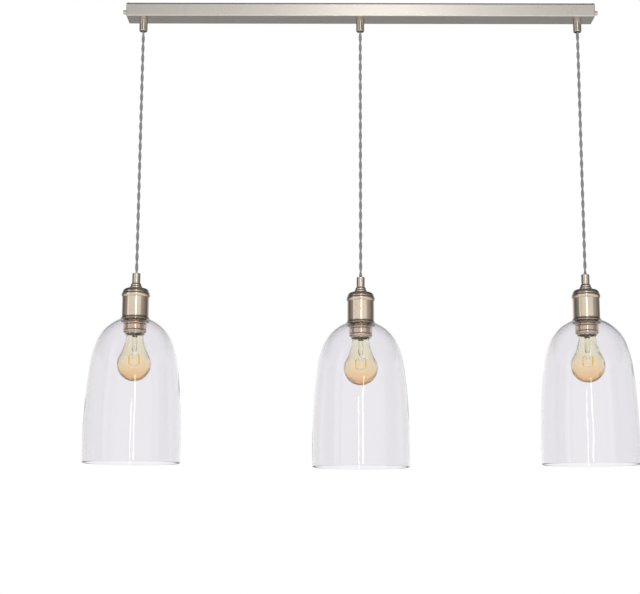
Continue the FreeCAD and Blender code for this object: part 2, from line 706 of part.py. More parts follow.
def make_cord(side):
    """The hanging cord, round-topped at the point where it bends, down to the ceramic core."""
    extra = S.middle_extra if side == "middle" else as_size(0)
    top = S.cord_free + extra + S.pivot_depth
    radius = S.cord_radius
    body = turn(f"{side}_cord", [
        (0, top + radius, radius), (0, ceramic_top), (radius, ceramic_top), (radius, top)])
    hang(body, side)


def make_holder_grip(side):
    """A plain tube on a stepped cone, with a stem into the cap."""
    tube, upper, lower = S.tube_radius, S.upper_step_radius, S.lower_step_radius
    ease, bevel = S.step_ease, S.step_bevel
    body = turn(f"{side}_holder_grip", [
        (S.grip_bore, -ease, ease), (S.grip_bore, cap_top - S.holder_stem),
        (S.stem_radius, cap_top - S.holder_stem),
        (S.stem_radius, cap_top), (lower, cap_top), (lower, step_height - bevel),
        (lower - ease, step_height - ease), (upper, step_height - ease), (upper, cone_top - bevel),
        (upper - ease, cone_top - ease / 2), (tube, cone_top), (tube, -ease),
        (tube - ease, 0, ease), (S.grip_bore + ease, 0)])
    hang(body, side)


def make_holder_cap(side):
    """A dome with a bead round its edge and a spigot into the body."""
    outer = S.body_radius
    dome_edge = outer - S.dome_round
    dome_foot = cap_top - S.dome_round
    bead_foot = dome_foot - 2 * S.bead_half_height
    bead_curve = (S.bead_half_height * S.bead_half_height + S.bead_stand * S.bead_stand) / (2 * S.bead_stand)
    inner = outer - S.body_wall - S.fit_gap
    lining = inner - S.body_wall
    spigot_foot = cap_foot - S.spigot_length
    roof = cap_top - S.cap_boss
    body = turn(f"{side}_holder_cap", [
        (S.stem_radius + S.seat_gap, cap_top), (S.stem_radius + S.seat_gap, roof),
        (lining - S.lining_round, roof), (lining, roof - S.lining_round, -S.lining_round),
        (lining, spigot_foot), (inner, spigot_foot), (inner, cap_foot), (outer, cap_foot),
        (outer, bead_foot), (outer, dome_foot, bead_curve), (dome_edge, cap_top, S.dome_round)])
    hang(body, side)


def make_holder_shell(side):
    """The plain body, its flared foot and the threaded neck that goes through the glass."""
    outer, wall = S.body_radius, S.body_wall
    neck, lip = S.neck_radius, S.neck_lip
    spread = S.foot_radius - outer
    flare_curve = (spread * spread + S.flare_height * S.flare_height) / (2 * spread)
    body = turn(f"{side}_holder_shell", [
        (outer - wall, cap_foot), (outer - wall, flange_foot), (neck - wall, flange_foot),
        (neck - wall, neck_mouth + lip), (neck - wall + lip, neck_mouth, lip), (neck - lip, neck_mouth),
        (neck, neck_mouth + lip, lip), (neck, foot), (S.foot_radius, foot), (S.foot_radius, foot_top),
        (outer, flare_top, -flare_curve), (outer, cap_foot)])
    hang(body, side)


def make_holder_core(side):
    """The ceramic insulator: a flange on the body's floor and a barrel down the neck."""
    barrel_foot = neck_mouth + S.ceramic_recess
    body = turn(f"{side}_holder_core", [
        (0, ceramic_top), (0, socket_roof), (S.socket_bore, socket_roof), (S.socket_bore, barrel_foot),
        (S.ceramic_barrel_radius, barrel_foot), (S.ceramic_barrel_radius, flange_foot),
        (S.ceramic_flange_radius, flange_foot), (S.ceramic_flange_radius, flange_top),
        (S.ceramic_top_radius, flange_top), (S.ceramic_top_radius, ceramic_top)])
    hang(body, side)


def thread_outline(foot_height, top_height, root, crest):
    """Points up a wavy wall: one crest and one root for each ring of the thread."""
    step = (top_height - foot_height) / THREAD_RINGS
    points = []
    for number in range(THREAD_RINGS):
        low = foot_height + step * number
        points += [(root, low), (crest, low + step / 2)]
    return points + [(root, top_height)]


def make_screw_shell(side):
    """The threaded contact in the ceramic core, closed rings standing in for its thread."""
    foot_height = lamp_base + S.thread_pitch / 2
    top_height = cap_end - S.thread_pitch / 2
    inner_root = S.thread_radius + S.fit_gap
    inner_crest = inner_root + S.thread_depth
    inside = thread_outline(foot_height, top_height, inner_root, inner_crest)
    outside = thread_outline(foot_height, top_height, inner_root + S.shell_sheet, inner_crest + S.shell_sheet)
    body = turn(f"{side}_screw_shell", inside + outside[::-1])
    hang(body, side)


def make_centre_contact(side):
    """A bent spring tongue fixed to the roof of the socket, over the lamp's tip."""
    body = new_body(f"{side}_centre_contact")
    sketch = new_sketch(body, "XZ_Plane", f"{side}_tongue")
    end, sheet_thick, flat = S.contact_half_length, S.contact_sheet, S.contact_pad
    low = lamp_tip + S.fit_gap
    high = low + S.contact_lift
    draw_outline(sketch, [
        (-end, socket_roof), (-end, socket_roof - sheet_thick), (-end / 2, socket_roof - sheet_thick),
        (-flat, low), (flat, low), (end / 2, high), (end / 2, high + sheet_thick),
        (flat, low + sheet_thick), (-flat, low + sheet_thick), (-end / 2 + sheet_thick, socket_roof)])
    pad(body, sketch, S.contact_width, both_ways=True)
    hang(body, side)


def flank_radius(start, slope, end):
    """Radius of the arc that leaves start at a slope in degrees and reaches end."""
    across, down = end[0] - start[0], end[1] - start[1]
    inwards = -(across * sine(slope) + down * cosine(slope))
    return (across * across + down * down) / (2 * inwards)


def shade_profile():
    """The cloche's half outline: seat, shoulder, side and flank, outside then inside."""
    wall = S.shade_wall
    height = S.shade_height - wall / 2
    centre = (S.shade_seat - S.shoulder_radius * sine(S.shade_start),
              -S.shoulder_radius * cosine(S.shade_start))
    outer, inner = {}, {}
    for surface, radius in ((outer, S.shoulder_radius), (inner, S.shoulder_radius - wall)):
        surface["shoulder"] = (centre[0] + radius * sine(S.shoulder_end),
                               centre[1] + radius * cosine(S.shoulder_end))
    side_centre = (outer["shoulder"][0] - S.side_radius * sine(S.shoulder_end),
                   outer["shoulder"][1] - S.side_radius * cosine(S.shoulder_end))
    for surface, radius in ((outer, S.side_radius), (inner, S.side_radius - wall)):
        surface["side"] = (side_centre[0] + radius * sine(S.side_end),
                           side_centre[1] + radius * cosine(S.side_end))
    outer["rim"] = (S.shade_radius, -height)
    inner["rim"] = (S.shade_radius - wall, -height)
    inner_radius = S.shoulder_radius - wall
    inner_rise = -wall - centre[1]
    inner_seat = centre[0] + square_root(inner_radius * inner_radius - inner_rise * inner_rise)
    return [
        (S.shade_hole, 0), (S.shade_hole, -wall), (inner_seat, -wall),
        inner["shoulder"] + (-inner_radius,), inner["side"] + (-(S.side_radius - wall),),
        inner["rim"] + (-flank_radius(inner["side"], S.side_end, inner["rim"]),),
        (S.shade_radius - wall / 2, -S.shade_height, wall / 2),
        outer["rim"] + (wall / 2,),
        outer["side"] + (flank_radius(outer["side"], S.side_end, outer["rim"]),),
        outer["shoulder"] + (S.side_radius,), (S.shade_seat, 0, S.shoulder_radius)]


def make_shade(side):
    """The clear glass cloche, open below and holed for the neck at the top."""
    outline = [(corner[0], corner[1] + foot) + tuple(corner[2:]) for corner in shade_profile()]
    hang(turn(f"{side}_shade", outline), side)


def make_shade_ring(side):
    """The threaded ring that clamps the glass up against the foot."""
    bore, crest = S.neck_radius + S.fit_gap, S.ring_radius
    root, groove = crest - S.ring_groove, S.ring_groove_width
    foot_of_ring = ring_top - S.ring_height
    outline = [(bore, ring_top), (bore, foot_of_ring), (crest - groove, foot_of_ring),
               (crest, foot_of_ring + groove)]
    for drop in (S.lower_groove, S.upper_groove):
        high = ring_top - drop
        outline += [(crest, high - groove), (root, high - groove * 3 / 4),
                    (root, high - groove / 4), (crest, high)]
    outline += [(crest, ring_top - S.ring_bevel), (crest - S.ring_bevel, ring_top)]
    hang(turn(f"{side}_shade_ring", outline), side)


def lamp_outline(radius, neck, base, tip):
    """Up the bulb from its tip: the ball, the sweep into the neck and the shoulder to the base."""
    ball_across, ball_up = radius * cosine(S.lamp_blend), lamp_centre + radius * sine(S.lamp_blend)
    blend = (ball_across - neck) / (1 - cosine(S.lamp_blend))
    neck_foot = ball_up + blend * sine(S.lamp_blend)
    shoulder = lamp_base - S.lamp_shoulder
    spread = neck - base
    shoulder_curve = (spread * spread + S.lamp_shoulder * S.lamp_shoulder) / (2 * spread)
    return [(0, tip), (radius, lamp_centre, radius), (ball_across, ball_up, radius),
            (neck, neck_foot, -blend), (neck, shoulder), (base, lamp_base, shoulder_curve)]


def make_bulb_glass(side):
    """A thin pear-shaped bulb, open where the cap closes it."""
    outer = lamp_outline(S.lamp_radius, S.lamp_neck_radius, S.lamp_base_radius, lamp_centre - S.lamp_radius)
    thin = S.lamp_glass
    inner = lamp_outline(S.lamp_radius - thin, S.lamp_neck_radius - thin, S.lamp_base_radius - thin,
                         lamp_centre - S.lamp_radius + thin)
    back = [(inner[-1][0], inner[-1][1])]
    for corner, previous in zip(inner[::-1], inner[-2::-1]):
        back.append(previous[:2] + (-corner[2],) if len(corner) == 3 else previous[:2])
    hang(turn(f"{side}_bulb_glass", outer + back), side)


def make_bulb_cap(side):
    """The lamp's metal cap: a skirt round the glass, thread rings and a turned-in top."""
    crest, root = S.thread_radius, S.thread_radius - S.thread_depth
    skirt_top = lamp_base + S.skirt_height
    inner = root - S.cap_sheet
    thread = thread_outline(skirt_top, cap_end - S.cap_sheet, root, crest)
    outline = [(inner, lamp_base), (crest, lamp_base), (crest, skirt_top - S.cap_sheet)] + thread + [
        (root - 2 * S.cap_sheet, cap_end), (S.tip_radius + S.cap_sheet, cap_end),
        (S.tip_radius + S.cap_sheet, cap_end - S.cap_sheet), (inner, cap_end - S.cap_sheet)]
    hang(turn(f"{side}_bulb_cap", outline), side)


def make_bulb_contact(side):
    """The lamp's insulator and solder tip, on top of the cap."""
    tip, sheet_thick = S.tip_radius, S.cap_sheet
    skirt = S.thread_radius - S.thread_depth - S.insulator_margin
    collar = cap_end + S.insulator_height
    hang(turn(f"{side}_bulb_contact", [
        (0, cap_end), (skirt, cap_end), (tip, collar), (tip, lamp_tip - sheet_thick),
        (tip - sheet_thick, lamp_tip, sheet_thick), (0, lamp_tip)]), side)


def make_bulb_filament(side):
    """The glass stem, its two holding wires and the two upright light filaments."""
    stem_foot = lamp_base - S.mount_length
    base = S.lamp_base_radius - S.lamp_glass - S.fit_gap
    flare = base - S.mount_radius
    stick_top = stem_foot + S.support_height
    stick_foot = stick_top - S.stick_length
    label = f"{side}_bulb_filament"
    stem = Part.makeCylinder(S.mount_radius.value, S.mount_length.value,
                             FreeCAD.Vector(0, 0, stem_foot.value))
    stem = stem.fuse(Part.makeCone(S.mount_radius.value, base.value, flare.value,
                                   FreeCAD.Vector(0, 0, (lamp_base - flare).value))).removeSplitter()
    solids = [stem]
    for sign in (-1, 1):
        x = sign * S.stick_offset.value
        foot_of_stick = FreeCAD.Vector(x, 0, stick_foot.value)
        solids.append(Part.makeCylinder(S.stick_radius.value, S.stick_length.value, foot_of_stick))
    hold = S.mount_radius - S.support_hold
    reach = (S.stick_offset + S.stick_radius - hold).value
    support = S.wire_radius.value
    for sign in (-1, 1):
        start = FreeCAD.Vector(sign * hold.value, 0, stick_top.value + support)
        wire = Part.makeCylinder(support, reach, start, FreeCAD.Vector(sign, 0, 0))
        solids.append(wire.cut(stem))
    lower = FreeCAD.Vector(-S.stick_offset.value - S.stick_radius.value, 0, stick_foot.value - support)
    solids.append(Part.makeCylinder(support, 2 * (S.stick_offset.value + S.stick_radius.value), lower,
                                    FreeCAD.Vector(1, 0, 0)))
    feature = doc.addObject("Part::Feature", label)
    feature.Label = label
    feature.Shape = Part.makeCompound(solids)
    feature.Placement = FreeCAD.Placement(
        FreeCAD.Vector(pendant_spacing.value * SIDES[side], 0, holder_height(side).value),
        FreeCAD.Rotation())
    parts[label] = feature


# ---- Build everything

make_ceiling_bar()
make_ceiling_bracket()
make_end_screws()
make_grip_nuts()
make_grip_grub_screws()
make_terminal_block()
make_terminal_screws()
make_earth_screw()

PENDANT_PIECES = [
    make_canopy_grip, make_leads, make_cord_bush, make_cord, make_holder_grip, make_holder_cap,
    make_holder_shell, make_holder_core, make_screw_shell, make_centre_contact, make_shade_ring,
    make_shade, make_bulb_cap, make_bulb_contact, make_bulb_glass, make_bulb_filament]
for pendant in SIDES:
    for make_piece in PENDANT_PIECES:
        make_piece(pendant)

doc.recompute()


# ---- Checks, then one file for each piece

for thing in doc.Objects:
    if {"Invalid", "Error"} & set(thing.State):
        raise RuntimeError(f"{thing.Label} failed: {thing.State}")
for sketch, name, expected in bound_constraints:
    found = sketch.getDatum(name).Value
    if abs(found - expected) > 1e-6 * max(1, abs(expected)):
        raise RuntimeError(f"{sketch.Label}.{name} is {found}, not {expected}")
for label, part in parts.items():
    shape = part.Shape
    if shape.isNull() or not shape.isValid() or not shape.Solids:
        raise RuntimeError(f"{label} has no valid solid")
    shape.exportStep(f"parts/{label}.step")
print(f"{len(parts)} nodes, {sum(len(part.Shape.Solids) for part in parts.values())} solids")
print(f"holder top at {holder_height('left').value:.1f}, rim at "
      f"{(holder_height('left') + foot - S.shade_height).value:.1f}")
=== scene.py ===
import math

import bmesh
import bpy
import numpy as np
from mathutils import Matrix, Vector


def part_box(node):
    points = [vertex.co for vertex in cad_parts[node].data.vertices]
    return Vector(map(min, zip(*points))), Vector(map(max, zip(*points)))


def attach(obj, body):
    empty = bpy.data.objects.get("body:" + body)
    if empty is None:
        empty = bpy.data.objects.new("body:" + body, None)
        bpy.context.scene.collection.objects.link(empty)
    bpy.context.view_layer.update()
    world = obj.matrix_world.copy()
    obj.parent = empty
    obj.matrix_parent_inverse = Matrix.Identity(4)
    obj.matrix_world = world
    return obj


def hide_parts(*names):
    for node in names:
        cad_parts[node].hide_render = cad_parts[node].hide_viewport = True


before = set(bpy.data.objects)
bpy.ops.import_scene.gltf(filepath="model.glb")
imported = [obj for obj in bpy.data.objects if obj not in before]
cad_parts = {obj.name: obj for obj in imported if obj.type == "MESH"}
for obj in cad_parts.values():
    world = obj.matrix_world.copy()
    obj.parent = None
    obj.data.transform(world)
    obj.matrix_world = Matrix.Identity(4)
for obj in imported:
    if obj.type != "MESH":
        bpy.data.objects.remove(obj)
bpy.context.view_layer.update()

# A linear island pendant: three glass cloches on twisted cords under a satin nickel bar.
# Metres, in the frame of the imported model: +Z up, the bar along X, the ceiling at z = 0.

sides = ("left", "middle", "right")
mm = 0.001
metalSides = 96  # facets round a turned metal piece
noiseSpan = (0.3, 0.7)  # where most of a noise's values lie


# ---- Shapes

def roundCorner(before, corner, after, size, steps=6):
    # a corner as a short parabola: (1-t)^2 start + 2t(1-t) corner + t^2 end,
    # which starts and ends at size from the corner, or just short of half a run
    almostHalf = 0.48
    reach = []
    for end in (before, after):
        run = np.linalg.norm(end - corner)
        reach.append(corner + (end - corner) / run * min(size, almostHalf * run))
    t = np.linspace(0, 1, steps + 1)[:, None]
    return (1 - t) ** 2 * reach[0] + 2 * t * (1 - t) * corner + t ** 2 * reach[1]


def arcPoints(centre, radius, first, last, steps=12):
    # points of a circle arc, its angles in degrees from the radius axis
    angles = np.radians(np.linspace(first, last, steps + 1))
    return np.stack([centre[0] + radius * np.cos(angles), centre[1] + radius * np.sin(angles)], axis=1)


def outlineOf(*items):
    # joins plain points (r, z), corners (r, z, rounding) and ready arrays, in mm, into one outline in metres
    raw = [np.atleast_2d(np.array(item[:2] if isinstance(item, tuple) else item, float)) for item in items]
    runs = []
    for index, item in enumerate(items):
        if isinstance(item, tuple) and len(item) == 3:
            before, after = raw[index - 1][-1], raw[(index + 1) % len(raw)][0]
            runs.append(roundCorner(before, raw[index][0], after, item[2]))
        else:
            runs.append(raw[index])
    return np.vstack(runs) * mm


def newPiece(name, mesh):
    piece = bpy.data.objects.new(name, mesh)
    bpy.context.scene.collection.objects.link(piece)
    return piece


def evenFaces(piece):
    # broad faces keep their own normals, and only the bends between them shade round
    weighted = piece.modifiers.new("evenFaces", "WEIGHTED_NORMAL")
    weighted.weight = 100
    weighted.keep_sharp = True


def readPoints(mesh):
    points = np.empty(len(mesh.vertices) * 3)
    mesh.vertices.foreach_get("co", points)
    return points.reshape(-1, 3)


def writePoints(mesh, points):
    mesh.vertices.foreach_set("co", points.ravel())
    mesh.update()


def meshFromGrid(name, grid, wrapRows=False):
    # a mesh of quads round a grid of points (rows, columns, 3), with UVs as shares of both directions
    sharpAngle = 38
    rows, columns = grid.shape[:2]
    r = np.arange(rows if wrapRows else rows - 1)[:, None]
    c = np.arange(columns)[None, :]
    below, above = r, (r + 1) % rows
    near, far = c, (c + 1) % columns
    faces = np.stack([below * columns + near, below * columns + far,
                      above * columns + far, above * columns + near], axis=2).reshape(-1, 4)
    mesh = bpy.data.meshes.new(name)
    mesh.from_pydata(grid.reshape(-1, 3).tolist(), [], faces.tolist())
    across, along = c / columns, r / max(rows - 1, 1)
    stepAcross, stepAlong = 1 / columns, 1 / max(rows - 1, 1)
    u = np.stack([across, across + stepAcross, across + stepAcross, across], axis=2)
    v = np.stack([along, along, along + stepAlong, along + stepAlong], axis=2)
    shape = (len(r), columns, 4)
    uv = np.stack([np.broadcast_to(u, shape), np.broadcast_to(v, shape)], axis=3)
    mesh.uv_layers.new(name="UVMap").data.foreach_set("uv", uv.astype(np.float32).ravel())
    work = bmesh.new()
    work.from_mesh(mesh)
    bmesh.ops.remove_doubles(work, verts=work.verts, dist=1e-6)
    work.to_mesh(mesh)
    work.free()
    mesh.shade_smooth()
    mesh.set_sharp_from_angle(angle=math.radians(sharpAngle))
    piece = newPiece(name, mesh)
    evenFaces(piece)
    return piece


def turnedPiece(name, outline, axis, top, facets=metalSides, closed=False, ripple=None):
    # an outline (r, z) carried round a vertical axis: x = r cos a, y = r sin a, with a ripple in r if given
    angles = np.linspace(0, 2 * np.pi, facets, endpoint=False) + np.pi / 2
    radius = np.repeat(outline[:, :1], facets, axis=1)
    height = np.repeat(outline[:, 1:], facets, axis=1)
    if ripple is not None:
        radius = radius + ripple(angles[None, :], radius, height)
    across, depth = axis[0] + radius * np.cos(angles), axis[1] + radius * np.sin(angles)
    return meshFromGrid(name, np.stack([across, depth, top + height], axis=2), wrapRows=closed)


def tubeGrid(line, outwards, radius, facets):
    # a circle carried along a line and square to it, drawn together at both ends
    tangent = np.gradient(line, axis=0)
    tangent /= np.linalg.norm(tangent, axis=1)[:, None]
    first = outwards - (outwards * tangent).sum(axis=1)[:, None] * tangent
    first /= np.linalg.norm(first, axis=1)[:, None]
    second = np.cross(tangent, first)
    around = np.linspace(0, 2 * np.pi, facets, endpoint=False)[None, :, None]
    ringSize = np.full(len(line), radius)
    ringSize[[0, -1]] = 0
    circles = np.cos(around) * first[:, None] + np.sin(around) * second[:, None]
    return line[:, None] + ringSize[:, None, None] * circles


def joinPieces(name, pieces):
    # one smooth piece in place of several
    work = bmesh.new()
    for piece in pieces:
        work.from_mesh(piece.data)
        bpy.data.objects.remove(piece)
    mesh = bpy.data.meshes.new(name)
    work.to_mesh(mesh)
    work.free()
    mesh.shade_smooth()
    return newPiece(name, mesh)


def threadTurns(angles, height, pitch):
    # a helix: the wave's place along the axis advances one pitch in each turn
    return height / (pitch * mm) - angles / (2 * np.pi)


def dress(piece, material, slotName, body, *nodes):
    # gives a new piece its material and its body, and hides the CAD nodes that it stands for
    piece.data.materials.append(material)
    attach(piece, body)
    if nodes:
        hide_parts(*nodes)


def measure(node):
    # the middle of a node's box from above and its top, in metres, then half its width and its height, in mm
    low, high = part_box(node)
    axis = ((low.x + high.x) / 2, (low.y + high.y) / 2)
    return axis, high.z, (high.x - low.x) / 2 / mm, (high.z - low.z) / mm


# ---- Shader nodes

def newGroup(name, inputs, outputs):
    group = bpy.data.node_groups.new(name, "ShaderNodeTree")
    for direction, sockets in (("INPUT", inputs), ("OUTPUT", outputs)):
        for label, kind in sockets:
            group.interface.new_socket(label, in_out=direction, socket_type=f"NodeSocket{kind}")
    nodes = group.nodes
    return group, nodes, group.links, nodes.new("NodeGroupInput"), nodes.new("NodeGroupOutput")


def placeGroup(nodes, group, values):
    node = nodes.new("ShaderNodeGroup")
    node.node_tree = group
    for label, value in values.items():
        node.inputs[label].default_value = value
    return node


def objectPlace(nodes):
    return nodes.new("ShaderNodeTexCoord").outputs["Object"]


def partsOf(nodes, links, vector):
    parts = nodes.new("ShaderNodeSeparateXYZ")
    links.new(vector, parts.inputs["Vector"])
    return parts.outputs


def feed(links, socket, value):
    # a plain number is set on the socket and anything else is linked to it
    if isinstance(value, (int, float)):
        socket.default_value = value
    else:
        links.new(value, socket)


def mathNode(nodes, links, kind, first, second):
    node = nodes.new("ShaderNodeMath")
    node.operation = kind
    for socket, value in zip(node.inputs, (first, second)):
        feed(links, socket, value)
    return node.outputs[0]


def noiseNode(nodes, links, vector, scale, detail, roughness=0.5):
    node = nodes.new("ShaderNodeTexNoise")
    links.new(vector, node.inputs["Vector"])
    node.inputs["Detail"].default_value = detail
    node.inputs["Roughness"].default_value = roughness
    feed(links, node.inputs["Scale"], scale)
    return node


def mapRange(nodes, links, value, low, high, newLow, newHigh):
    node = nodes.new("ShaderNodeMapRange")
    links.new(value, node.inputs["Value"])
    for label, given in (("From Min", low), ("From Max", high), ("To Min", newLow), ("To Max", newHigh)):
        feed(links, node.inputs[label], given)
    return node.outputs["Result"]


def rampNode(nodes, links, value, stops):
    ramp = nodes.new("ShaderNodeValToRGB")
    links.new(value, ramp.inputs["Fac"])
    while len(ramp.color_ramp.elements) < len(stops):
        ramp.color_ramp.elements.new(0.5)
    for element, (place, colour) in zip(ramp.color_ramp.elements, stops):
        element.position = place
        element.color = (*colour, 1)
    return ramp.outputs["Color"]


def twoTones(nodes, links, noise, values):
    # a noise as a colour between the dark tone and the light one
    return rampNode(nodes, links, noise, list(zip(noiseSpan, (values["dark"], values["light"]))))


def bumpInto(nodes, links, shader, height, strength, distance):
    bump = nodes.new("ShaderNodeBump")
    bump.inputs["Strength"].default_value = strength
    bump.inputs["Distance"].default_value = distance
    links.new(height, bump.inputs["Height"])
    links.new(bump.outputs["Normal"], shader.inputs["Normal"])


def makeBrushedGrain():
    # fine lines drawn out along one direction, with soft handling marks that vary the sheen
    values = {"lineDetail": 4, "lineRoughness": 0.65, "markScale": 24, "markDetail": 3, "share": 0.5}
    group, nodes, links, given, made = newGroup(
        "brushedGrain", [("Vector", "Vector"), ("Stretch", "Vector"), ("Low", "Float"), ("High", "Float")],
        [("Height", "Float"), ("Roughness", "Float"), ("Tone", "Float")])
    stretch = nodes.new("ShaderNodeVectorMath")
    stretch.operation = "MULTIPLY"
    links.new(given.outputs["Vector"], stretch.inputs[0])
    links.new(given.outputs["Stretch"], stretch.inputs[1])
    lines = noiseNode(nodes, links, stretch.outputs[0], 1, values["lineDetail"], values["lineRoughness"])
    marks = noiseNode(nodes, links, given.outputs["Vector"], values["markScale"], values["markDetail"])
    drawn = mathNode(nodes, links, "MULTIPLY", lines.outputs[0], values["share"])
    soft = mathNode(nodes, links, "MULTIPLY", marks.outputs[0], values["share"])
    both = mathNode(nodes, links, "ADD", drawn, soft)
    links.new(mapRange(nodes, links, both, *noiseSpan, given.outputs["Low"], given.outputs["High"]),
              made.inputs["Roughness"])
    links.new(lines.outputs[0], made.inputs["Height"])
    links.new(marks.outputs[0], made.inputs["Tone"])
    return group


def makeBlownWaves():
    # slow uneven waves, as in glass that was blown and not pressed
    values = {"detail": 1, "distortion": 0.6}
    group, nodes, links, given, made = newGroup(
        "blownWaves", [("Vector", "Vector"), ("Scale", "Float")], [("Height", "Float")])
    slow = noiseNode(nodes, links, given.outputs["Vector"], given.outputs["Scale"], values["detail"])
    slow.inputs["Distortion"].default_value = values["distortion"]
    links.new(slow.outputs[0], made.inputs["Height"])
    return group


brushedGrain = makeBrushedGrain()
blownWaves = makeBlownWaves()


# ---- Finishes

def newFinish(name, colour, roughness, metallic=0.0):
    material = bpy.data.materials.new(name)
    material.use_nodes = True
    nodes, links = material.node_tree.nodes, material.node_tree.links
    shader = nodes["Principled BSDF"]
    shader.inputs["Base Color"].default_value = (*colour, 1)
    shader.inputs["Roughness"].default_value = roughness
    shader.inputs["Metallic"].default_value = metallic
    return material, nodes, links, shader


def makeBrushedMetal(name, values):
    # metal with a drawn grain, its colour drifting a little between two tones
    grainDepth = 0.00005
    material, nodes, links, shader = newFinish(name, values["light"], values["low"], 1.0)
    grain = placeGroup(nodes, brushedGrain, {"Stretch": values["stretch"], "Low": values["low"],
                                             "High": values["high"]})
    links.new(objectPlace(nodes), grain.inputs["Vector"])
    links.new(twoTones(nodes, links, grain.outputs["Tone"], values), shader.inputs["Base Color"])
    links.new(grain.outputs["Roughness"], shader.inputs["Roughness"])
    bumpInto(nodes, links, shader, grain.outputs["Height"], values["bump"], grainDepth)
    return material


barNickel = makeBrushedMetal("barNickel", {
    "light": (0.655, 0.62, 0.575), "dark": (0.635, 0.595, 0.54),
    "stretch": (5, 900, 900), "low": 0.26, "high": 0.31, "bump": 0.12})
turnedNickel = makeBrushedMetal("turnedNickel", {
    "light": (0.68, 0.58, 0.475), "dark": (0.63, 0.525, 0.42),
    "stretch": (60, 60, 4200), "low": 0.145, "high": 0.195, "bump": 0.08})
gripNickel = makeBrushedMetal("gripNickel", {
    "light": (0.53, 0.475, 0.415), "dark": (0.49, 0.435, 0.375),
    "stretch": (60, 60, 4200), "low": 0.11, "high": 0.15, "bump": 0.08})
zincSteel = makeBrushedMetal("zincSteel", {
    "light": (0.62, 0.63, 0.64), "dark": (0.45, 0.46, 0.47),
    "stretch": (150, 150, 150), "low": 0.3, "high": 0.5, "bump": 0.1})
contactBrass = makeBrushedMetal("contactBrass", {
    "light": (0.80, 0.62, 0.32), "dark": (0.66, 0.49, 0.24),
    "stretch": (90, 90, 900), "low": 0.22, "high": 0.36, "bump": 0.1})
capMetal = makeBrushedMetal("capMetal", {
    "light": (0.74, 0.74, 0.73), "dark": (0.63, 0.62, 0.60),
    "stretch": (80, 80, 1500), "low": 0.2, "high": 0.32, "bump": 0.1})


def makeGlass(name, values):
    # clear glass; the uneven waves only bend what is seen in it
    material, nodes, links, shader = newFinish(name, values["colour"], 0.0)
    shader.inputs["Transmission Weight"].default_value = 1
    shader.inputs["IOR"].default_value = values["ior"]
    waves = placeGroup(nodes, blownWaves, {"Scale": values["waveScale"]})
    links.new(objectPlace(nodes), waves.inputs["Vector"])
    bumpInto(nodes, links, shader, waves.outputs["Height"], 1.0, values["waveDepth"])
    return material, nodes, links, waves


shadeGlass = makeGlass("shadeGlass", {
    "colour": (0.908, 0.898, 0.917), "ior": 1.37, "waveScale": 9, "waveDepth": 0.0012})[0]
stemGlass = makeGlass("stemGlass", {
    "colour": (0.95, 0.93, 0.88), "ior": 1.5, "waveScale": 90, "waveDepth": 0.0003})[0]


def makeLampGlass():
    # amber glass, deepest at the tip and almost clear at the neck: v runs from the tip to the cap
    values = {"colour": (0.95, 0.80, 0.58), "ior": 1.38, "waveScale": 130, "waveDepth": 0.003,
              "tones": ((0.0, (1.0, 0.55, 0.23)), (0.11, (1.0, 0.64, 0.33)), (0.21, (1.0, 0.81, 0.56)),
                        (0.31, (1.0, 0.94, 0.78)), (0.46, (1.0, 1.0, 0.91))),
              "calm": (0.12, 0.20, 1, 0.25)}  # the waves are deepest round the tip
    material, nodes, links, waves = makeGlass("lampGlass", values)
    parts = partsOf(nodes, links, nodes.new("ShaderNodeUVMap").outputs["UV"])
    colour = rampNode(nodes, links, parts["Y"], values["tones"])
    links.new(colour, nodes["Principled BSDF"].inputs["Base Color"])
    still = mapRange(nodes, links, parts["Y"], *values["calm"])
    depth = mathNode(nodes, links, "MULTIPLY", waves.outputs["Height"], still)
    links.new(depth, nodes["Bump"].inputs["Height"])
    return material


lampGlass = makeLampGlass()


def makeBraid():
    # a woven sleeve: two sets of slanted threads cross, the gaps between them painted dark as painted shade,
    # and a fuzz varies the tone from thread to thread
    values = {"light": (0.53, 0.53, 0.525), "dark": (0.2, 0.2, 0.2), "roughness": 0.85, "turns": 9,
              "rows": 900, "sheen": 0.35, "sheenRoughness": 0.4, "fuzzScale": 900, "weaveShare": 0.75,
              "tones": (0.1, 0.9), "bump": 0.6, "depth": 0.00025}
    material, nodes, links, shader = newFinish("greyBraid", values["light"], values["roughness"])
    shader.inputs["Sheen Weight"].default_value = values["sheen"]
    shader.inputs["Sheen Roughness"].default_value = values["sheenRoughness"]
    parts = partsOf(nodes, links, nodes.new("ShaderNodeUVMap").outputs["UV"])
    along = mathNode(nodes, links, "MULTIPLY", parts["Y"], values["rows"])
    crossed = []
    for slant in (-1, 1):
        around = mathNode(nodes, links, "MULTIPLY", parts["X"], slant * values["turns"] * 2 * math.pi)
        crossed.append(mathNode(nodes, links, "SINE", mathNode(nodes, links, "ADD", around, along), 0.0))
    weave = mathNode(nodes, links, "MAXIMUM", *crossed)
    fuzz = noiseNode(nodes, links, objectPlace(nodes), values["fuzzScale"], 3, 0.6)
    mixed = mathNode(
        nodes, links, "ADD", mapRange(nodes, links, weave, -0.2, 1, 0, values["weaveShare"]),
        mapRange(nodes, links, fuzz.outputs[0], *noiseSpan, 0, 1 - values["weaveShare"]))
    # the ramp paints the weave's gaps dark, a painted shade, with the fuzz's random tone mixed in
    stops = list(zip(values["tones"], (values["dark"], values["light"])))
    links.new(rampNode(nodes, links, mixed, stops), shader.inputs["Base Color"])
    bumpInto(nodes, links, shader, mixed, values["bump"], values["depth"])
    return material


greyBraid = makeBraid()


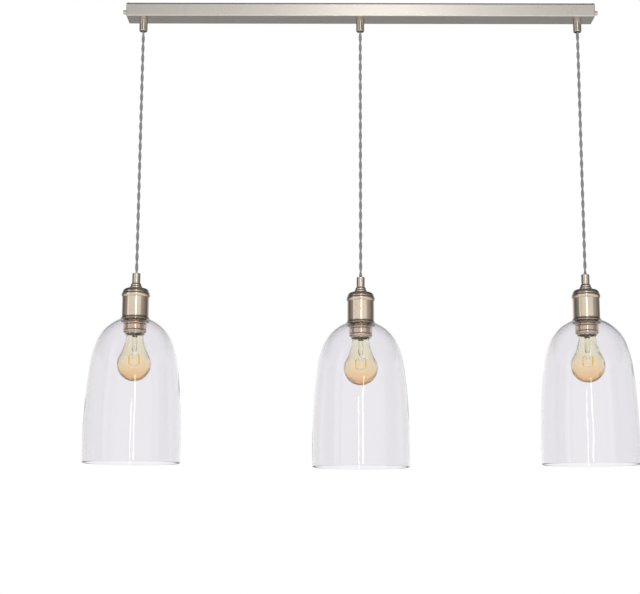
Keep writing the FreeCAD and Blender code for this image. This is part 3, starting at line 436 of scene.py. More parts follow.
def makePlastic(name, values):
    # a moulded or fired surface with a faint mottle and orange peel
    drift, peel, peelDepth = 0.06, 0.2, 0.0001
    material, nodes, links, shader = newFinish(name, values["light"], values["roughness"])
    mottle = noiseNode(nodes, links, objectPlace(nodes), values["scale"], 3).outputs[0]
    links.new(twoTones(nodes, links, mottle, values), shader.inputs["Base Color"])
    links.new(mapRange(nodes, links, mottle, *noiseSpan, values["roughness"] - drift,
                       values["roughness"] + drift), shader.inputs["Roughness"])
    bumpInto(nodes, links, shader, mottle, peel, peelDepth)
    return material


bushRubber = makePlastic("bushRubber", {
    "light": (0.045, 0.045, 0.045), "dark": (0.03, 0.03, 0.03), "roughness": 0.6, "scale": 400})
blockPlastic = makePlastic("blockPlastic", {
    "light": (0.82, 0.81, 0.76), "dark": (0.76, 0.75, 0.70), "roughness": 0.42, "scale": 120})
whiteCeramic = makePlastic("whiteCeramic", {
    "light": (0.84, 0.83, 0.79), "dark": (0.78, 0.76, 0.71), "roughness": 0.36, "scale": 160})
tipBlack = makePlastic("tipBlack", {
    "light": (0.035, 0.035, 0.04), "dark": (0.02, 0.02, 0.02), "roughness": 0.3, "scale": 300})
filamentYellow = makePlastic("filamentYellow", {
    "light": (0.97, 0.72, 0.10), "dark": (0.93, 0.62, 0.05), "roughness": 0.45, "scale": 900})
# painted glow: the unlit filaments give off a little light of their own, standing in for light that reaches
# them through the glass
filamentPaintedGlow = filamentYellow.node_tree.nodes["Principled BSDF"].inputs
filamentPaintedGlow["Emission Color"].default_value = (0.98, 0.66, 0.10, 1)  # a painted glow, though the lamp is unlit
filamentPaintedGlow["Emission Strength"].default_value = 0.5


def makeCoreInsulation():
    # brown for the front core of each pair and blue for the back one
    values = {"brown": (0.20, 0.075, 0.03), "blue": (0.03, 0.10, 0.34), "rubScale": 300, "sheen": (0.34, 0.5)}
    material, nodes, links, shader = newFinish("coreInsulation", values["brown"], values["sheen"][0])
    where = objectPlace(nodes)
    back = mathNode(nodes, links, "GREATER_THAN", partsOf(nodes, links, where)["Y"], 0.0)
    colour = rampNode(nodes, links, back, [(0.4, values["brown"]), (0.6, values["blue"])])
    links.new(colour, shader.inputs["Base Color"])
    rub = noiseNode(nodes, links, where, values["rubScale"], 2).outputs[0]
    links.new(mapRange(nodes, links, rub, *noiseSpan, *values["sheen"]), shader.inputs["Roughness"])
    return material


coreInsulation = makeCoreInsulation()
print("finishes made")


# ---- CAD nodes that keep their own shape

def paint(material, *nodes):
    for node in nodes:
        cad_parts[node].data.materials.clear()
        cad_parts[node].data.materials.append(material)


paint(zincSteel, "ceiling_bracket", "grip_nuts", "grip_grub_screws", "terminal_screws", "earth_screw",
      "left_end_washer", "right_end_washer")
paint(blockPlastic, "terminal_block")
for side in sides:
    paint(coreInsulation, f"{side}_leads")
    paint(bushRubber, f"{side}_cord_bush")
    paint(whiteCeramic, f"{side}_holder_core")
    paint(contactBrass, f"{side}_screw_shell", f"{side}_centre_contact")
print("CAD nodes painted")


# ---- Bar

def makeBar():
    # the folded sheet with smooth bends, and a rim rolled inwards round its open top:
    # the rim is a closed profile (inset from the outer face, height) carried round a rounded rectangle
    values = {"rim": 3.8, "sheet": 1.2, "curl": 4.6, "curlDrop": 0.8, "lap": 0.1, "corner": 1.6,
              "arcSteps": 6, "topWithin": 0.5, "bend": 32}
    low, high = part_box("ceiling_bar")
    work = bmesh.new()
    work.from_mesh(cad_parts["ceiling_bar"].data)
    bmesh.ops.remove_doubles(work, verts=work.verts, dist=1e-5)
    mesh = bpy.data.meshes.new("bar")
    work.to_mesh(mesh)
    work.free()
    rim, curl, corner = values["rim"], values["curl"], values["corner"] * mm
    points = readPoints(mesh)
    points[points[:, 2] > -values["topWithin"] * mm, 2] = -rim * mm  # makes room for the rolled rim
    writePoints(mesh, points)
    mesh.shade_smooth()
    mesh.set_sharp_from_angle(angle=math.radians(values["bend"]))
    bar = newPiece("bar", mesh)
    evenFaces(bar)

    profile = np.vstack([
        arcPoints((rim, -rim), rim, 180, 90, 8), [(curl, 0), (curl, -values["curlDrop"])],
        arcPoints((rim + values["lap"], -rim), rim - values["sheet"] + values["lap"], 90, 180, 6)]) * mm
    half = np.array([high.x - low.x, high.y - low.y]) / 2
    centres, outwards = [], []
    for turn, signs in enumerate(((1, 1), (-1, 1), (-1, -1), (1, -1))):
        angles = np.pi / 2 * (turn + np.linspace(0, 1, values["arcSteps"] + 1))
        centres.append(np.repeat(((half - corner) * signs)[None], len(angles), axis=0))
        outwards.append(np.stack([np.cos(angles), np.sin(angles)], axis=1))
    reach = corner - profile[:, 0]
    across = np.vstack(centres)[None] + reach[:, None, None] * np.vstack(outwards)[None]
    height = np.repeat(profile[:, 1:], across.shape[1], axis=1)[:, :, None]
    rolled = meshFromGrid("rolledRim", np.concatenate([across, height], axis=2), wrapRows=True)
    for piece in (bar, rolled):
        dress(piece, barNickel, "satin_nickel", "root", "ceiling_bar")


makeBar()


# ---- Thumb screws at the bar's ends

def makeThumbScrew(side, direction):
    # a knurled head on a plain shank, turned about X: the knurl is a small cosine in the radius
    values = {"shank": 2.0, "round": 0.7, "ridges": 22, "ridgeDepth": 0.2, "facetsPerRidge": 8,
              "hollow": 0.5, "hollowEdge": 0.6, "hollowFoot": 0.5, "knurlFrom": 0.85}
    low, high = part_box(f"{side}_end_screw")
    radius, length = (high.z - low.z) / 2 / mm, (high.x - low.x) / mm
    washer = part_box(f"{side}_end_washer")
    head = (high.x - washer[1].x if direction > 0 else washer[0].x - low.x) / mm
    headFoot, hollow = length - head, length - values["hollow"]
    outline = outlineOf(
        (0, 0), (values["shank"], 0, 0.4), (values["shank"], headFoot), (radius, headFoot, values["round"]),
        (radius, length, values["round"]), (radius * values["hollowEdge"], length, 0.4),
        (radius * values["hollowFoot"], hollow), (0, hollow))
    facets = values["ridges"] * values["facetsPerRidge"]
    angles = np.linspace(0, 2 * np.pi, facets, endpoint=False)
    outer = outline[:, :1]
    onHead = (outer > values["knurlFrom"] * radius * mm) * (outline[:, 1:] > headFoot * mm)
    wave = values["ridgeDepth"] * mm * (np.cos(values["ridges"] * angles) - 1) / 2
    spread = outer + onHead * wave
    start = low.x if direction > 0 else high.x
    along = np.repeat(start + direction * outline[:, 1:], facets, axis=1)
    middle = (low.z + high.z) / 2
    grid = np.stack([along, direction * -spread * np.sin(angles), middle + spread * np.cos(angles)], axis=2)
    screw = meshFromGrid(f"{side}ThumbScrew", grid)
    dress(screw, barNickel, "satin_nickel", f"{side}_thumb_screw", f"{side}_end_screw")


makeThumbScrew("left", -1)
makeThumbScrew("right", 1)


# ---- Canopy grips

def makeCanopyGrip(side):
    # a stem through the bar, a plain barrel with a fine groove and a rounded mouth
    values = {"stem": 5.0, "bore": 3.4, "mouth": 4.9, "mouthDepth": 8, "round": 1.5, "lip": 0.7,
              "stemHeight": 5.2, "collar": 3.4, "groove": 0.35, "slope": 0.25}
    axis, top, radius, length = measure(f"{side}_canopy_grip")
    stem, bore, mouth, slope = (values[key] for key in ("stem", "bore", "mouth", "slope"))
    shoulder, groove = -values["stemHeight"], -values["stemHeight"] - values["collar"]
    grooved = radius - values["groove"]
    mouthTop = -length + values["mouthDepth"]
    outline = outlineOf(
        (bore, mouthTop, 0.5), (mouth, mouthTop, 0.5), (mouth, -length, values["lip"]),
        (radius, -length, values["round"]), (radius, groove - 2 * slope, 0.2), (grooved, groove - slope),
        (grooved, groove), (radius, groove + slope, 0.2), (radius, shoulder, 0.4),
        (stem, shoulder), (stem, 0, 0.5), (bore, 0, 0.4))
    grip = turnedPiece(f"{side}CanopyGrip", outline, axis, top, closed=True)
    dress(grip, gripNickel, "satin_nickel", "root", f"{side}_canopy_grip")


for side in sides:
    makeCanopyGrip(side)
print("bar and grips made")


# ---- Cords

cordValues = {
    "strand": 1.5 * mm,       # radius of one strand
    "lay": 1.45 * mm,         # from the cord's middle to a strand's
    "spread": 2.1 * mm,       # the same at the bend in the grip, where the strands part
    "spreadLength": 11 * mm,
    "pitch": 37.3 * mm,       # one whole twist
    "rings": 30,              # in one twist
    "facets": 14}
cordPhase = {"left": 0.495, "middle": 0.035, "right": 0.605}  # share of a twist at the grip
outerRoute = (-0.0438, -0.150, -0.275, -0.400, -0.505, -0.5628)
cordRoute = {  # heights of the route, from the bend down to the ceramic core
    "left": outerRoute, "middle": (-0.0438, -0.150, -0.275, -0.400, -0.511, -0.5688), "right": outerRoute}


def readRoute(name, points):
    # the smooth line that a NURBS spline of order 3 makes of the route's points
    curve = bpy.data.curves.new(name, "CURVE")
    curve.dimensions = "3D"
    curve.resolution_u = 24
    spline = curve.splines.new("NURBS")
    spline.points.add(len(points) - 1)
    spline.points.foreach_set("co", [value for point in points for value in (*point, 1)])
    spline.order_u = 3
    spline.use_endpoint_u = True
    carrier = newPiece(name, curve)
    mesh = bpy.data.meshes.new_from_object(carrier.evaluated_get(bpy.context.evaluated_depsgraph_get()))
    line = readPoints(mesh)
    bpy.data.objects.remove(carrier)
    bpy.data.meshes.remove(mesh)
    return line


def strandGrid(line, phase, turn):
    # one strand: a circle carried along a helix about the line, whose radius narrows from the grip down
    steps = np.linalg.norm(np.diff(line, axis=0), axis=1)
    along = np.concatenate([[0], np.cumsum(steps)])
    count = int(along[-1] / cordValues["pitch"] * cordValues["rings"])
    s = np.linspace(0, along[-1], count)
    centre = np.stack([np.interp(s, along, line[:, k]) for k in range(3)], axis=1)
    angle = 2 * np.pi * (s / cordValues["pitch"] + phase) + turn
    outwards = np.stack([np.cos(angle), np.sin(angle), np.zeros(count)], axis=1)
    ease = np.clip(s / cordValues["spreadLength"], 0, 1)
    offset = cordValues["spread"] + (cordValues["lay"] - cordValues["spread"]) * ease ** 2 * (3 - 2 * ease)
    centre += offset[:, None] * outwards
    return tubeGrid(centre, outwards, cordValues["strand"], cordValues["facets"])


def makeCord(side):
    axis = measure(f"{side}_cord")[0]
    line = readRoute(f"{side}Route", [(axis[0], axis[1], height) for height in cordRoute[side]])
    cord = joinPieces(f"{side}TwistedCord", [
        meshFromGrid(f"{side}Strand{number}", strandGrid(line, cordPhase[side], number * np.pi))
        for number in (0, 1)])
    dress(cord, greyBraid, "grey_braid", f"{side}_pendant", f"{side}_cord")


for side in sides:
    makeCord(side)
print("cords twisted")


# ---- Holders

def makeHolderGrip(side):
    # the cord's tube on a cone of two chamfered steps; each edge is (inset, chamfer's foot, its top)
    values = {"bore": 3.3, "stem": 5.0, "tube": 7.3, "upper": 9.5, "lower": 11.2, "tubeEnd": -18,
              "step": -22.4, "foot": -27.5, "stemEnd": -32, "round": 0.9,
              "upperEdge": (1.3, 1.8, 0.4), "lowerEdge": (1.2, 1.7, 0.5)}
    axis, top = measure(f"{side}_holder_grip")[:2]
    bore, stem, tube, upper, lower = (values[key] for key in ("bore", "stem", "tube", "upper", "lower"))
    tubeEnd, step, foot, stemEnd = (values[key] for key in ("tubeEnd", "step", "foot", "stemEnd"))
    upperIn, upperFoot, upperTop = values["upperEdge"]
    lowerIn, lowerFoot, lowerTop = values["lowerEdge"]
    outline = outlineOf(
        (bore, stemEnd, 0.3), (stem, stemEnd, 0.3), (stem, foot), (lower, foot, 0.5),
        (lower, step - lowerFoot, values["round"]), (lower - lowerIn, step - lowerTop, 0.5),
        (upper, step - lowerTop, 0.3), (upper, tubeEnd - upperFoot, values["round"]),
        (upper - upperIn, tubeEnd - upperTop, 0.5), (tube, tubeEnd, 0.3), (tube, 0, 0.8), (bore, 0, 0.8))
    grip = turnedPiece(f"{side}HolderGrip", outline, axis, top, closed=True)
    dress(grip, gripNickel, "satin_nickel", f"{side}_pendant", f"{side}_holder_grip")


def makeHolderCap(side):
    # a dome, a rounded bead and a plain skirt that runs into the body, with a spigot inside
    values = {"bore": 5.1, "wall": 1.2, "gap": 0.3, "roof": 3, "round": 7.9, "beadHalf": 3.9,
              "beadStand": 1.7, "height": 16, "lining": 4}
    axis, top, radius, length = measure(f"{side}_holder_cap")
    wall, dome, height = values["wall"], values["round"], values["height"]
    beadHalf, beadStand = values["beadHalf"], values["beadStand"]
    outer = radius - beadStand
    spigot = outer - wall - values["gap"]
    lining = spigot - wall
    beadFoot = -dome - 2 * beadHalf
    beadRadius = (beadHalf ** 2 + beadStand ** 2) / (2 * beadStand)
    beadSpan = math.degrees(math.asin(beadHalf / beadRadius))
    beadCentre = (outer + beadStand - beadRadius, (-dome + beadFoot) / 2)
    outline = outlineOf(
        (values["bore"], -values["roof"]), (lining, -values["roof"], values["lining"]),
        (lining, -length, 0.2), (spigot, -length, 0.3), (spigot, -height), (outer, -height, 0.25),
        (outer, beadFoot - 0.01), arcPoints(beadCentre, beadRadius, -beadSpan, beadSpan, 14),
        arcPoints((outer - dome, -dome), dome, 4, 90, 14), (values["bore"], 0))
    cap = turnedPiece(f"{side}HolderCap", outline, axis, top, closed=True)
    dress(cap, turnedNickel, "satin_nickel", f"{side}_pendant", f"{side}_holder_cap")


def makeHolderShell(side):
    # the plain body, its flare and foot, and the neck through the glass, its thread a wave in the radius
    values = {"wall": 1.2, "body": 23.9, "neck": 17.6, "neckLength": 26.5, "flare": 5, "footEdge": 1,
              "lip": 0.6, "pitch": 2.5, "thread": 0.32, "neckRings": 70}
    axis, top, foot, length = measure(f"{side}_holder_shell")
    wall, body, neck, flare = (values[key] for key in ("wall", "body", "neck", "flare"))
    end = -length
    footHeight = end + values["neckLength"]
    edge, flareTop = footHeight + values["footEdge"], footHeight + values["footEdge"] + flare
    spread = foot - body
    flareRadius = (spread ** 2 + flare ** 2) / (2 * spread)
    flareSpan = math.degrees(math.asin(flare / flareRadius))
    flareArc = arcPoints((body + flareRadius, flareTop), flareRadius, 180 + flareSpan, 180, 12)
    neckRun = np.linspace(end + values["lip"], footHeight, values["neckRings"])[1:-1]
    outline = outlineOf(
        (body - wall, 0, 0.15), (body - wall, footHeight + wall), (neck - wall, footHeight + wall),
        (neck - wall, end, values["lip"]), (neck, end, values["lip"]),
        np.stack([np.full(len(neckRun), neck), neckRun], axis=1), (neck, footHeight),
        (foot, footHeight, 0.3), (foot, edge, 0.3), flareArc[1:], (body, -0.4), (body - 0.25, 0))

    def threadWave(angles, radius, height):
        onNeck = (radius > (neck - 0.1) * mm) * (height < (footHeight - 0.5) * mm)
        turns = threadTurns(angles, height, values["pitch"])
        return onNeck * values["thread"] * mm * (np.cos(2 * np.pi * turns) - 1) / 2

    shell = turnedPiece(f"{side}HolderShell", outline, axis, top, closed=True, ripple=threadWave)
    dress(shell, turnedNickel, "satin_nickel", f"{side}_pendant", f"{side}_holder_shell")


def makeShadeRing(side):
    # a broad ring with a chamfered lower edge and three turned grooves, each (foot, width, depth)
    values = {"bore": 17.9, "grooves": ((3.8, 2.8, 2.4), (7.6, 2.1, 1.8), (17.2, 2.0, 1.7)),
              "slope": 0.3, "chamfer": 1.3, "lip": 1.5}
    axis, top, radius, length = measure(f"{side}_shade_ring")
    grooves = []
    for foot, width, depth in reversed(values["grooves"]):
        grooves += [(radius, -foot, 0.25), (radius - depth, -foot + width - values["slope"], 0.2),
                    (radius, -foot + width, 0.25)]
    outline = outlineOf(
        (values["bore"], -length, 0.3), (radius - values["chamfer"], -length, 0.5),
        (radius, -length + values["lip"], 0.5), *grooves, (radius, 0, 0.5), (values["bore"], 0, 0.3))
    ring = turnedPiece(f"{side}ShadeRing", outline, axis, top, closed=True)
    dress(ring, turnedNickel, "satin_nickel", f"{side}_ring", f"{side}_shade_ring")


for side in sides:
    makeHolderGrip(side)
    makeHolderCap(side)
    makeHolderShell(side)
    makeShadeRing(side)
print("holders made")


# ---- Glass shades

def makeShade(side, seed):
    # the cloche: a seat, a shoulder, a side and a flank of falling arcs, the inside a wall's width within,
    # and a fire-polished rim; blowing leaves a slow unevenness round and down the glass
    values = {"wall": 3.0, "hole": 18.2, "seat": 26, "start": 20.8, "shoulder": 70, "shoulderEnd": 67.6,
              "side": 161, "sideEnd": 82.7, "facets": 160,
              "uneven": 0.25, "unevenShare": 0.6, "unevenOver": 0.25, "unevenFrom": 0.03, "lean": 14}
    axis, top, rim, height = measure(f"{side}_shade")
    wall, shoulderRadius, sideRadius = values["wall"], values["shoulder"], values["side"]
    start, bend, slope = (math.radians(values[key]) for key in ("start", "shoulderEnd", "sideEnd"))
    centre = np.array([values["seat"] - shoulderRadius * math.sin(start), -shoulderRadius * math.cos(start)])
    direction = np.array([math.sin(bend), math.cos(bend)])
    sideCentre = centre - (sideRadius - shoulderRadius) * direction

    def surface(inset):
        # down one face: three arcs of one smooth line, each at its radius less the inset
        upper, lower = shoulderRadius - inset, sideRadius - inset
        firstEnd, secondEnd = 90 - values["shoulderEnd"], 90 - values["sideEnd"]
        shoulder = arcPoints(centre, upper, 90 - values["start"], firstEnd, 22)
        flank = arcPoints(sideCentre, lower, firstEnd, secondEnd, 12)[1:]
        begin, end = flank[-1], np.array([rim - inset, -height + wall / 2])
        across, down = end - begin
        inwards = -(across * math.sin(slope) + down * math.cos(slope))
        radius = (across ** 2 + down ** 2) / (2 * inwards)
        flankCentre = begin - radius * np.array([math.sin(slope), math.cos(slope)])
        last = math.degrees(math.atan2(end[1] - flankCentre[1], end[0] - flankCentre[0]))
        return np.vstack([shoulder, flank, arcPoints(flankCentre, radius, secondEnd, last, 34)[1:]])

    outside, inside = surface(0), surface(wall)
    inside = inside[inside[:, 1] < -wall]
    edge = arcPoints((rim - wall / 2, -height + wall / 2), wall / 2, -180, 0, 10)[1:-1]
    inSeat = centre[0] + math.sqrt((shoulderRadius - wall) ** 2 - (-wall - centre[1]) ** 2)
    outline = outlineOf(
        (values["hole"], -wall, 0.6), (inSeat, -wall), inside, edge, outside[::-1], (values["hole"], 0, 0.6))
    random = np.random.default_rng(seed)
    phases = random.uniform(0, 2 * np.pi, 3)

    def blown(angles, radius, height):
        # a little out of round, more so towards the rim
        share = np.clip(-height / values["unevenOver"], 0, 1) * (radius > values["unevenFrom"])
        wave = np.cos(2 * angles + phases[0]) + 0.5 * np.cos(3 * angles + phases[1] + values["lean"] * height)
        return values["uneven"] * mm * share * wave * values["unevenShare"]

    shade = turnedPiece(
        f"{side}GlassShade", outline, axis, top, facets=values["facets"], closed=True, ripple=blown)
    dress(shade, shadeGlass, "clear_glass", f"{side}_glass", f"{side}_shade")


for side, seed in zip(sides, (11, 23, 37)):
    makeShade(side, seed)
print("shades blown")


# ---- Lamps

lampValues = {
    "radius": 30, "centre": 53.5, "blend": 30, "neck": 14.8, "base": 12.9, "lift": 3, "shoulder": 5,
    "wall": 0.9, "facets": 112}


def lampLine(inset, neckMouth):
    # up the bulb: a ball, the sweep into the neck and the shoulder to the base, less the inset
    radius, neck, base = (lampValues[key] - inset for key in ("radius", "neck", "base"))
    ballEnd, shoulder = lampValues["blend"], lampValues["shoulder"]
    middle = neckMouth - lampValues["centre"]
    blend = math.radians(ballEnd)
    ballAcross, ballUp = radius * math.cos(blend), middle + radius * math.sin(blend)
    sweep = (ballAcross - neck) / (1 - math.cos(blend))
    shoulderFoot = neckMouth + lampValues["lift"] - shoulder
    spread = neck - base
    bend = (spread ** 2 + shoulder ** 2) / (2 * spread)
    span = math.degrees(math.asin(min(shoulder / bend, 1)))
    return np.vstack([
        arcPoints((0, middle), radius, -90, ballEnd, 44),
        arcPoints((neck + sweep, ballUp + sweep * math.sin(blend)), sweep, 180 + ballEnd, 180, 22)[1:],
        arcPoints((neck - bend, shoulderFoot), bend, 0, span, 8)])


def makeLampGlassPiece(side):
    # one thin wall: the outside up from the tip, then the inside down again
    axis, neckMouth = measure(f"{side}_bulb_glass")[0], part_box(f"{side}_holder_shell")[0].z
    outside, inside = lampLine(0, 0), lampLine(lampValues["wall"], 0)
    outline = np.vstack([outside, inside[::-1]]) * mm
    glass = turnedPiece(f"{side}LampGlass", outline, axis, neckMouth, facets=lampValues["facets"])
    dress(glass, lampGlass, "amber_glass", f"{side}_lamp", f"{side}_bulb_glass")


def makeLampCap(side):
    # a skirt and a rolled thread: radius = root + depth of a wave that climbs one pitch each turn
    values = {"crest": 13.05, "root": 12.3, "pitch": 3.6, "sheet": 0.4, "skirt": 2.4, "round": 1.6,
              "top": 5.5, "fade": 1.5, "threadStart": 0.8, "rings": 60}
    axis, top, _, length = measure(f"{side}_bulb_cap")
    crest, root, skirt, sheet = (values[key] for key in ("crest", "root", "skirt", "sheet"))
    run = np.linspace(-length + skirt + values["threadStart"], -values["round"], values["rings"])
    outline = outlineOf(
        (root - sheet, -length), (crest, -length, 0.3), (crest, -length + skirt, 0.3),
        np.stack([np.full(len(run), root), run], axis=1), (root, 0, values["round"]),
        (values["top"], 0), (values["top"], -sheet), (root - sheet, -sheet, values["round"]))

    def rolled(angles, radius, height):
        fade = values["fade"]
        share = np.clip((height / mm + length - skirt - values["threadStart"]) / fade, 0, 1)
        share = share * np.clip((-height / mm - values["round"]) / fade, 0, 1)
        onThread = (np.abs(radius / mm - root) < 0.01) * share
        turns = threadTurns(angles, height, values["pitch"])
        return onThread * (crest - root) * mm * (1 + np.cos(2 * np.pi * turns)) / 2

    cap = turnedPiece(f"{side}LampCap", outline, axis, top, closed=True, ripple=rolled)
    dress(cap, capMetal, "lamp_cap_metal", f"{side}_lamp", f"{side}_bulb_cap")


def makeLampContact(side):
    # the black insulator and a domed solder tip
    values = {"skirt": 11.1, "collar": 2, "tip": 5, "round": 1.1, "step": 0.4}
    axis, top, _, length = measure(f"{side}_bulb_contact")
    tip, shoulder = values["tip"], -length + values["collar"]
    outline = outlineOf(
        (0, -length), (values["skirt"], -length, 0.4), (tip + values["step"], shoulder, 0.6),
        (tip, shoulder), (tip, 0, values["round"]), (0, 0))
    contact = turnedPiece(f"{side}LampContact", outline, axis, top)
    dress(contact, tipBlack, "lamp_tip_solder", f"{side}_lamp_tip", f"{side}_bulb_contact")


def makeFilament(side):
    # a flared glass stem pinched at its foot, two lead wires and two upright coated filaments
    values = {"stem": 4.6, "flare": 7, "flareStart": 6.8, "stemLength": 34, "footShare": 0.8, "taper": 9,
              "pinch": 0.45, "pinchTop": 12, "pinchFade": 10, "stemFacets": 48,
              "stick": 1.25, "stickLength": 15.5, "stickOffset": 8.6, "stickTop": -7, "stickFacets": 16,
              "wire": 0.35, "wireFacets": 8}
    axis = measure(f"{side}_bulb_glass")[0]
    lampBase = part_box(f"{side}_bulb_cap")[0].z
    stem, stemFoot, stick = values["stem"], -values["stemLength"], values["stick"]
    outline = outlineOf(
        (0, stemFoot), (stem * values["footShare"], stemFoot, 0.8), (stem, stemFoot + values["taper"]),
        (stem, -values["flareStart"], 3), (values["flare"], 0, 0.3), (0, 0))
    glass = turnedPiece(f"{side}LampStem", outline, axis, lampBase, facets=values["stemFacets"])
    # the pinch: depth shrinks to a blade towards the stem's foot
    points = readPoints(glass.data)
    pinchTop = lampBase + (stemFoot + values["pinchTop"]) * mm
    share = np.clip((pinchTop - points[:, 2]) / (values["pinchFade"] * mm), 0, 1)
    points[:, 1] = axis[1] + (points[:, 1] - axis[1]) * (1 - (1 - values["pinch"]) * share)
    writePoints(glass.data, points)
    dress(glass, stemGlass, "filament", f"{side}_lamp")

    reach = values["stickOffset"]
    stickTop = stemFoot + values["stickTop"]
    stickFoot = stickTop - values["stickLength"]
    rounded = outlineOf((0, stickFoot), (stick, stickFoot, 0.4), (stick, stickTop, 0.4), (0, stickTop))
    sticks = joinPieces(f"{side}Filaments", [
        turnedPiece(f"{side}Stick{number}", rounded, (axis[0] + sign * reach * mm, axis[1]), lampBase,
                    facets=values["stickFacets"]) for number, sign in enumerate((-1, 1))])
    dress(sticks, filamentYellow, "filament", f"{side}_lamp", f"{side}_bulb_filament")

    # each wire's route (x, z) from the lamp's base, in mm: two from the stem to the sticks, one between them
    upper = [(2.4, stickTop - 6), (2.6, stickTop + 0.5), (4, stickTop + 1.6), (reach, stickTop + 0.8),
             (reach, stickTop - 0.8)]
    lower = [(-reach, stickFoot + 0.8), (-reach, stickFoot - 1), (0, stickFoot - 3.2),
             (reach, stickFoot - 1), (reach, stickFoot + 0.8)]
    routes = {"LeftWire": [(-x, z) for x, z in upper], "RightWire": upper, "LowerWire": lower}
    for label, points in routes.items():
        line = readRoute(label, [(axis[0] + x * mm, axis[1], lampBase + z * mm) for x, z in points])
        outwards = np.tile([0.0, 1.0, 0.0], (len(line), 1))
        grid = tubeGrid(line, outwards, values["wire"] * mm, values["wireFacets"])
        dress(meshFromGrid(f"{side}{label}", grid), capMetal, "filament", f"{side}_lamp")


for side in sides:
    makeLampGlassPiece(side)
    makeLampCap(side)
    makeLampContact(side)
    makeFilament(side)
print("lamps made")


# ---- Studio

def straightSight(nodes, links):
    # 1 for what the camera sees itself or straight through glass, 0 for what lights or mirrors the object
    rays = nodes.new("ShaderNodeLightPath").outputs
    seen = mathNode(nodes, links, "MAXIMUM", rays["Is Camera Ray"], rays["Is Transmission Ray"])
    for label in ("Glossy Depth", "Diffuse Depth"):
        clear = mathNode(nodes, links, "LESS_THAN", rays[label], 0.5)
        seen = mathNode(nodes, links, "MULTIPLY", seen, clear)
    return seen


def makeWorld():
    # white to the eye; what lights the object darkens towards the back (levels over y as shares), and
    # glossy rays see it darker above, while metal and glass that look backwards see the white wall
    values = {"levels": ((0.2, 0.62), (0.35, 0.43), (0.45, 0.36), (0.55, 0.28), (0.66, 0.18)),
              "tint": (1, 0.985, 0.97), "behind": (0.98, 0.975, 0.985), "metalSees": (0.55, 0.92),
              "glassSees": (-0.1, 0.35), "roof": (0.24, 0.5), "above": 0.4}
    world = bpy.data.worlds.new("studio")
    bpy.context.scene.world = world
    world.use_nodes = True
    nodes, links = world.node_tree.nodes, world.node_tree.links
    nodes.clear()
    around, white = nodes.new("ShaderNodeBackground"), nodes.new("ShaderNodeBackground")
    parts = partsOf(nodes, links, nodes.new("ShaderNodeTexCoord").outputs["Generated"])
    level = mapRange(nodes, links, parts["Y"], -1, 1, 0, 1)
    dim = rampNode(nodes, links, level, [
        (stop, [tint * share for tint in values["tint"]]) for stop, share in values["levels"]])
    rays = nodes.new("ShaderNodeLightPath").outputs
    inMetal, inGlass, inRoof = (
        mathNode(nodes, links, "MULTIPLY", rays[ray],
                 mapRange(nodes, links, parts[part], *values[span], 0, 1))
        for ray, part, span in (("Is Glossy Ray", "Y", "metalSees"),
                                ("Is Transmission Ray", "Y", "glassSees"),
                                ("Is Glossy Ray", "Z", "roof")))
    blend = nodes.new("ShaderNodeMix")
    blend.data_type = "RGBA"
    links.new(mathNode(nodes, links, "MAXIMUM", inMetal, inGlass), blend.inputs["Factor"])
    links.new(dim, blend.inputs["A"])
    blend.inputs["B"].default_value = (*values["behind"], 1)
    links.new(blend.outputs["Result"], around.inputs["Color"])
    links.new(mapRange(nodes, links, inRoof, 0, 1, 1, values["above"]), around.inputs["Strength"])
    white.inputs["Color"].default_value = (1, 1, 1, 1)
    mix = nodes.new("ShaderNodeMixShader")
    links.new(straightSight(nodes, links), mix.inputs[0])
    links.new(around.outputs[0], mix.inputs[1])
    links.new(white.outputs[0], mix.inputs[2])
    links.new(mix.outputs[0], nodes.new("ShaderNodeOutputWorld").inputs["Surface"])


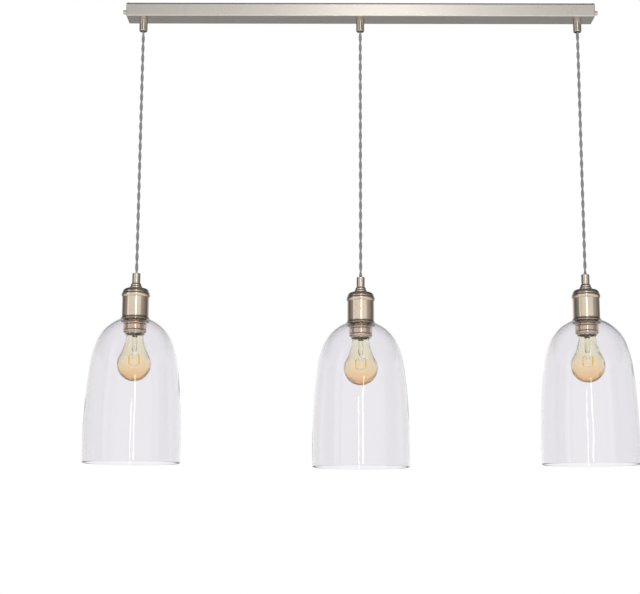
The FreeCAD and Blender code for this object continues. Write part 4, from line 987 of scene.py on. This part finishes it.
def makeFloor():
    # a pale floor that is almost white to the eye and still takes a soft shadow;
    # its front part is a painted pool of light, white only to glossy rays, so metal mirrors it as white
    values = {"height": -1.75, "half": 7, "whiteness": 0.72, "fade": (1.5, 5), "colour": (0.8, 0.795, 0.79),
              "roughness": 0.9, "paintedPool": 0.95, "paintedPoolEnd": (0.4, 1.6)}
    corners = [(x * values["half"], y * values["half"], values["height"])
               for x, y in ((-1, -1), (1, -1), (1, 1), (-1, 1))]
    mesh = bpy.data.meshes.new("floor")
    mesh.from_pydata(corners, [], [(0, 1, 2, 3)])
    floor = newPiece("floor", mesh)
    material, nodes, links, shader = newFinish("paleFloor", values["colour"], values["roughness"])
    white = nodes.new("ShaderNodeEmission")
    white.inputs["Color"].default_value = (1, 1, 1, 1)
    where = objectPlace(nodes)
    reach = nodes.new("ShaderNodeVectorMath")
    reach.operation = "LENGTH"
    links.new(where, reach.inputs[0])
    far = mapRange(nodes, links, reach.outputs["Value"], *values["fade"], values["whiteness"], 1)
    seen = mathNode(nodes, links, "MULTIPLY", straightSight(nodes, links), far)
    # painted light: a pool of white on the floor's front part, seen only by glossy rays
    paintedPool = mapRange(nodes, links, partsOf(nodes, links, where)["Y"], *values["paintedPoolEnd"], values["paintedPool"], 0)
    glossy = nodes.new("ShaderNodeLightPath").outputs["Is Glossy Ray"]
    mirrored = mathNode(nodes, links, "MULTIPLY", glossy, paintedPool)
    mix = nodes.new("ShaderNodeMixShader")
    links.new(mathNode(nodes, links, "MAXIMUM", seen, mirrored), mix.inputs[0])
    links.new(shader.outputs[0], mix.inputs[1])
    links.new(white.outputs[0], mix.inputs[2])
    links.new(mix.outputs[0], nodes["Material Output"].inputs["Surface"])
    mesh.materials.append(material)


def makePanel(name, place, aim, width, height, radiance):
    # a soft panel of light: its power follows from its area and how bright its face is
    light = bpy.data.lights.new(name, "AREA")
    light.shape = "RECTANGLE"
    light.size, light.size_y = width, height
    light.energy = radiance * math.pi * width * height
    panel = newPiece(name, light)
    panel.location = place
    panel.rotation_euler = (Vector(aim) - Vector(place)).to_track_quat("-Z", "Y").to_euler()
    panel.visible_camera = False


makeWorld()
makeFloor()
makePanel("frontPanel", (0.1, -3.7, -0.3), (0.1, 0, -0.4), 8.6, 3.0, 0.45)
makePanel("keyStrip", (0.17, -2.6, -0.4), (0.17, 0, -0.5), 0.13, 1.05, 7.5)
makePanel("barStrip", (0.17, -2.6, 1.08), (0.17, 0, 0.2), 0.3, 0.9, 2.4)
makePanel("barPanel", (0.1, -2.7, 1.15), (0.1, 0, 0.2), 1.9, 0.8, 0.36)
makePanel("leftStrip", (-2.25, -1.25, -0.2), (0, 0, -0.4), 0.62, 2.6, 0.75)


def makeCamera():
    values = {"place": (-0.0608, -2.2768, -0.9454), "pitch": 9.96, "yaw": 0.29, "roll": 0.21,
              "lens": 73.125, "sensor": 36}
    data = bpy.data.cameras.new("camera")
    data.lens = values["lens"]
    data.sensor_width = values["sensor"]
    camera = newPiece("camera", data)
    turn = (Matrix.Rotation(math.radians(values["yaw"]), 4, "Z")
            @ Matrix.Rotation(math.radians(90 + values["pitch"]), 4, "X")
            @ Matrix.Rotation(math.radians(values["roll"]), 4, "Z"))
    camera.matrix_world = Matrix.Translation(values["place"]) @ turn
    bpy.context.scene.camera = camera


makeCamera()
bpy.context.scene.view_settings.view_transform = "Standard"
print("studio set")
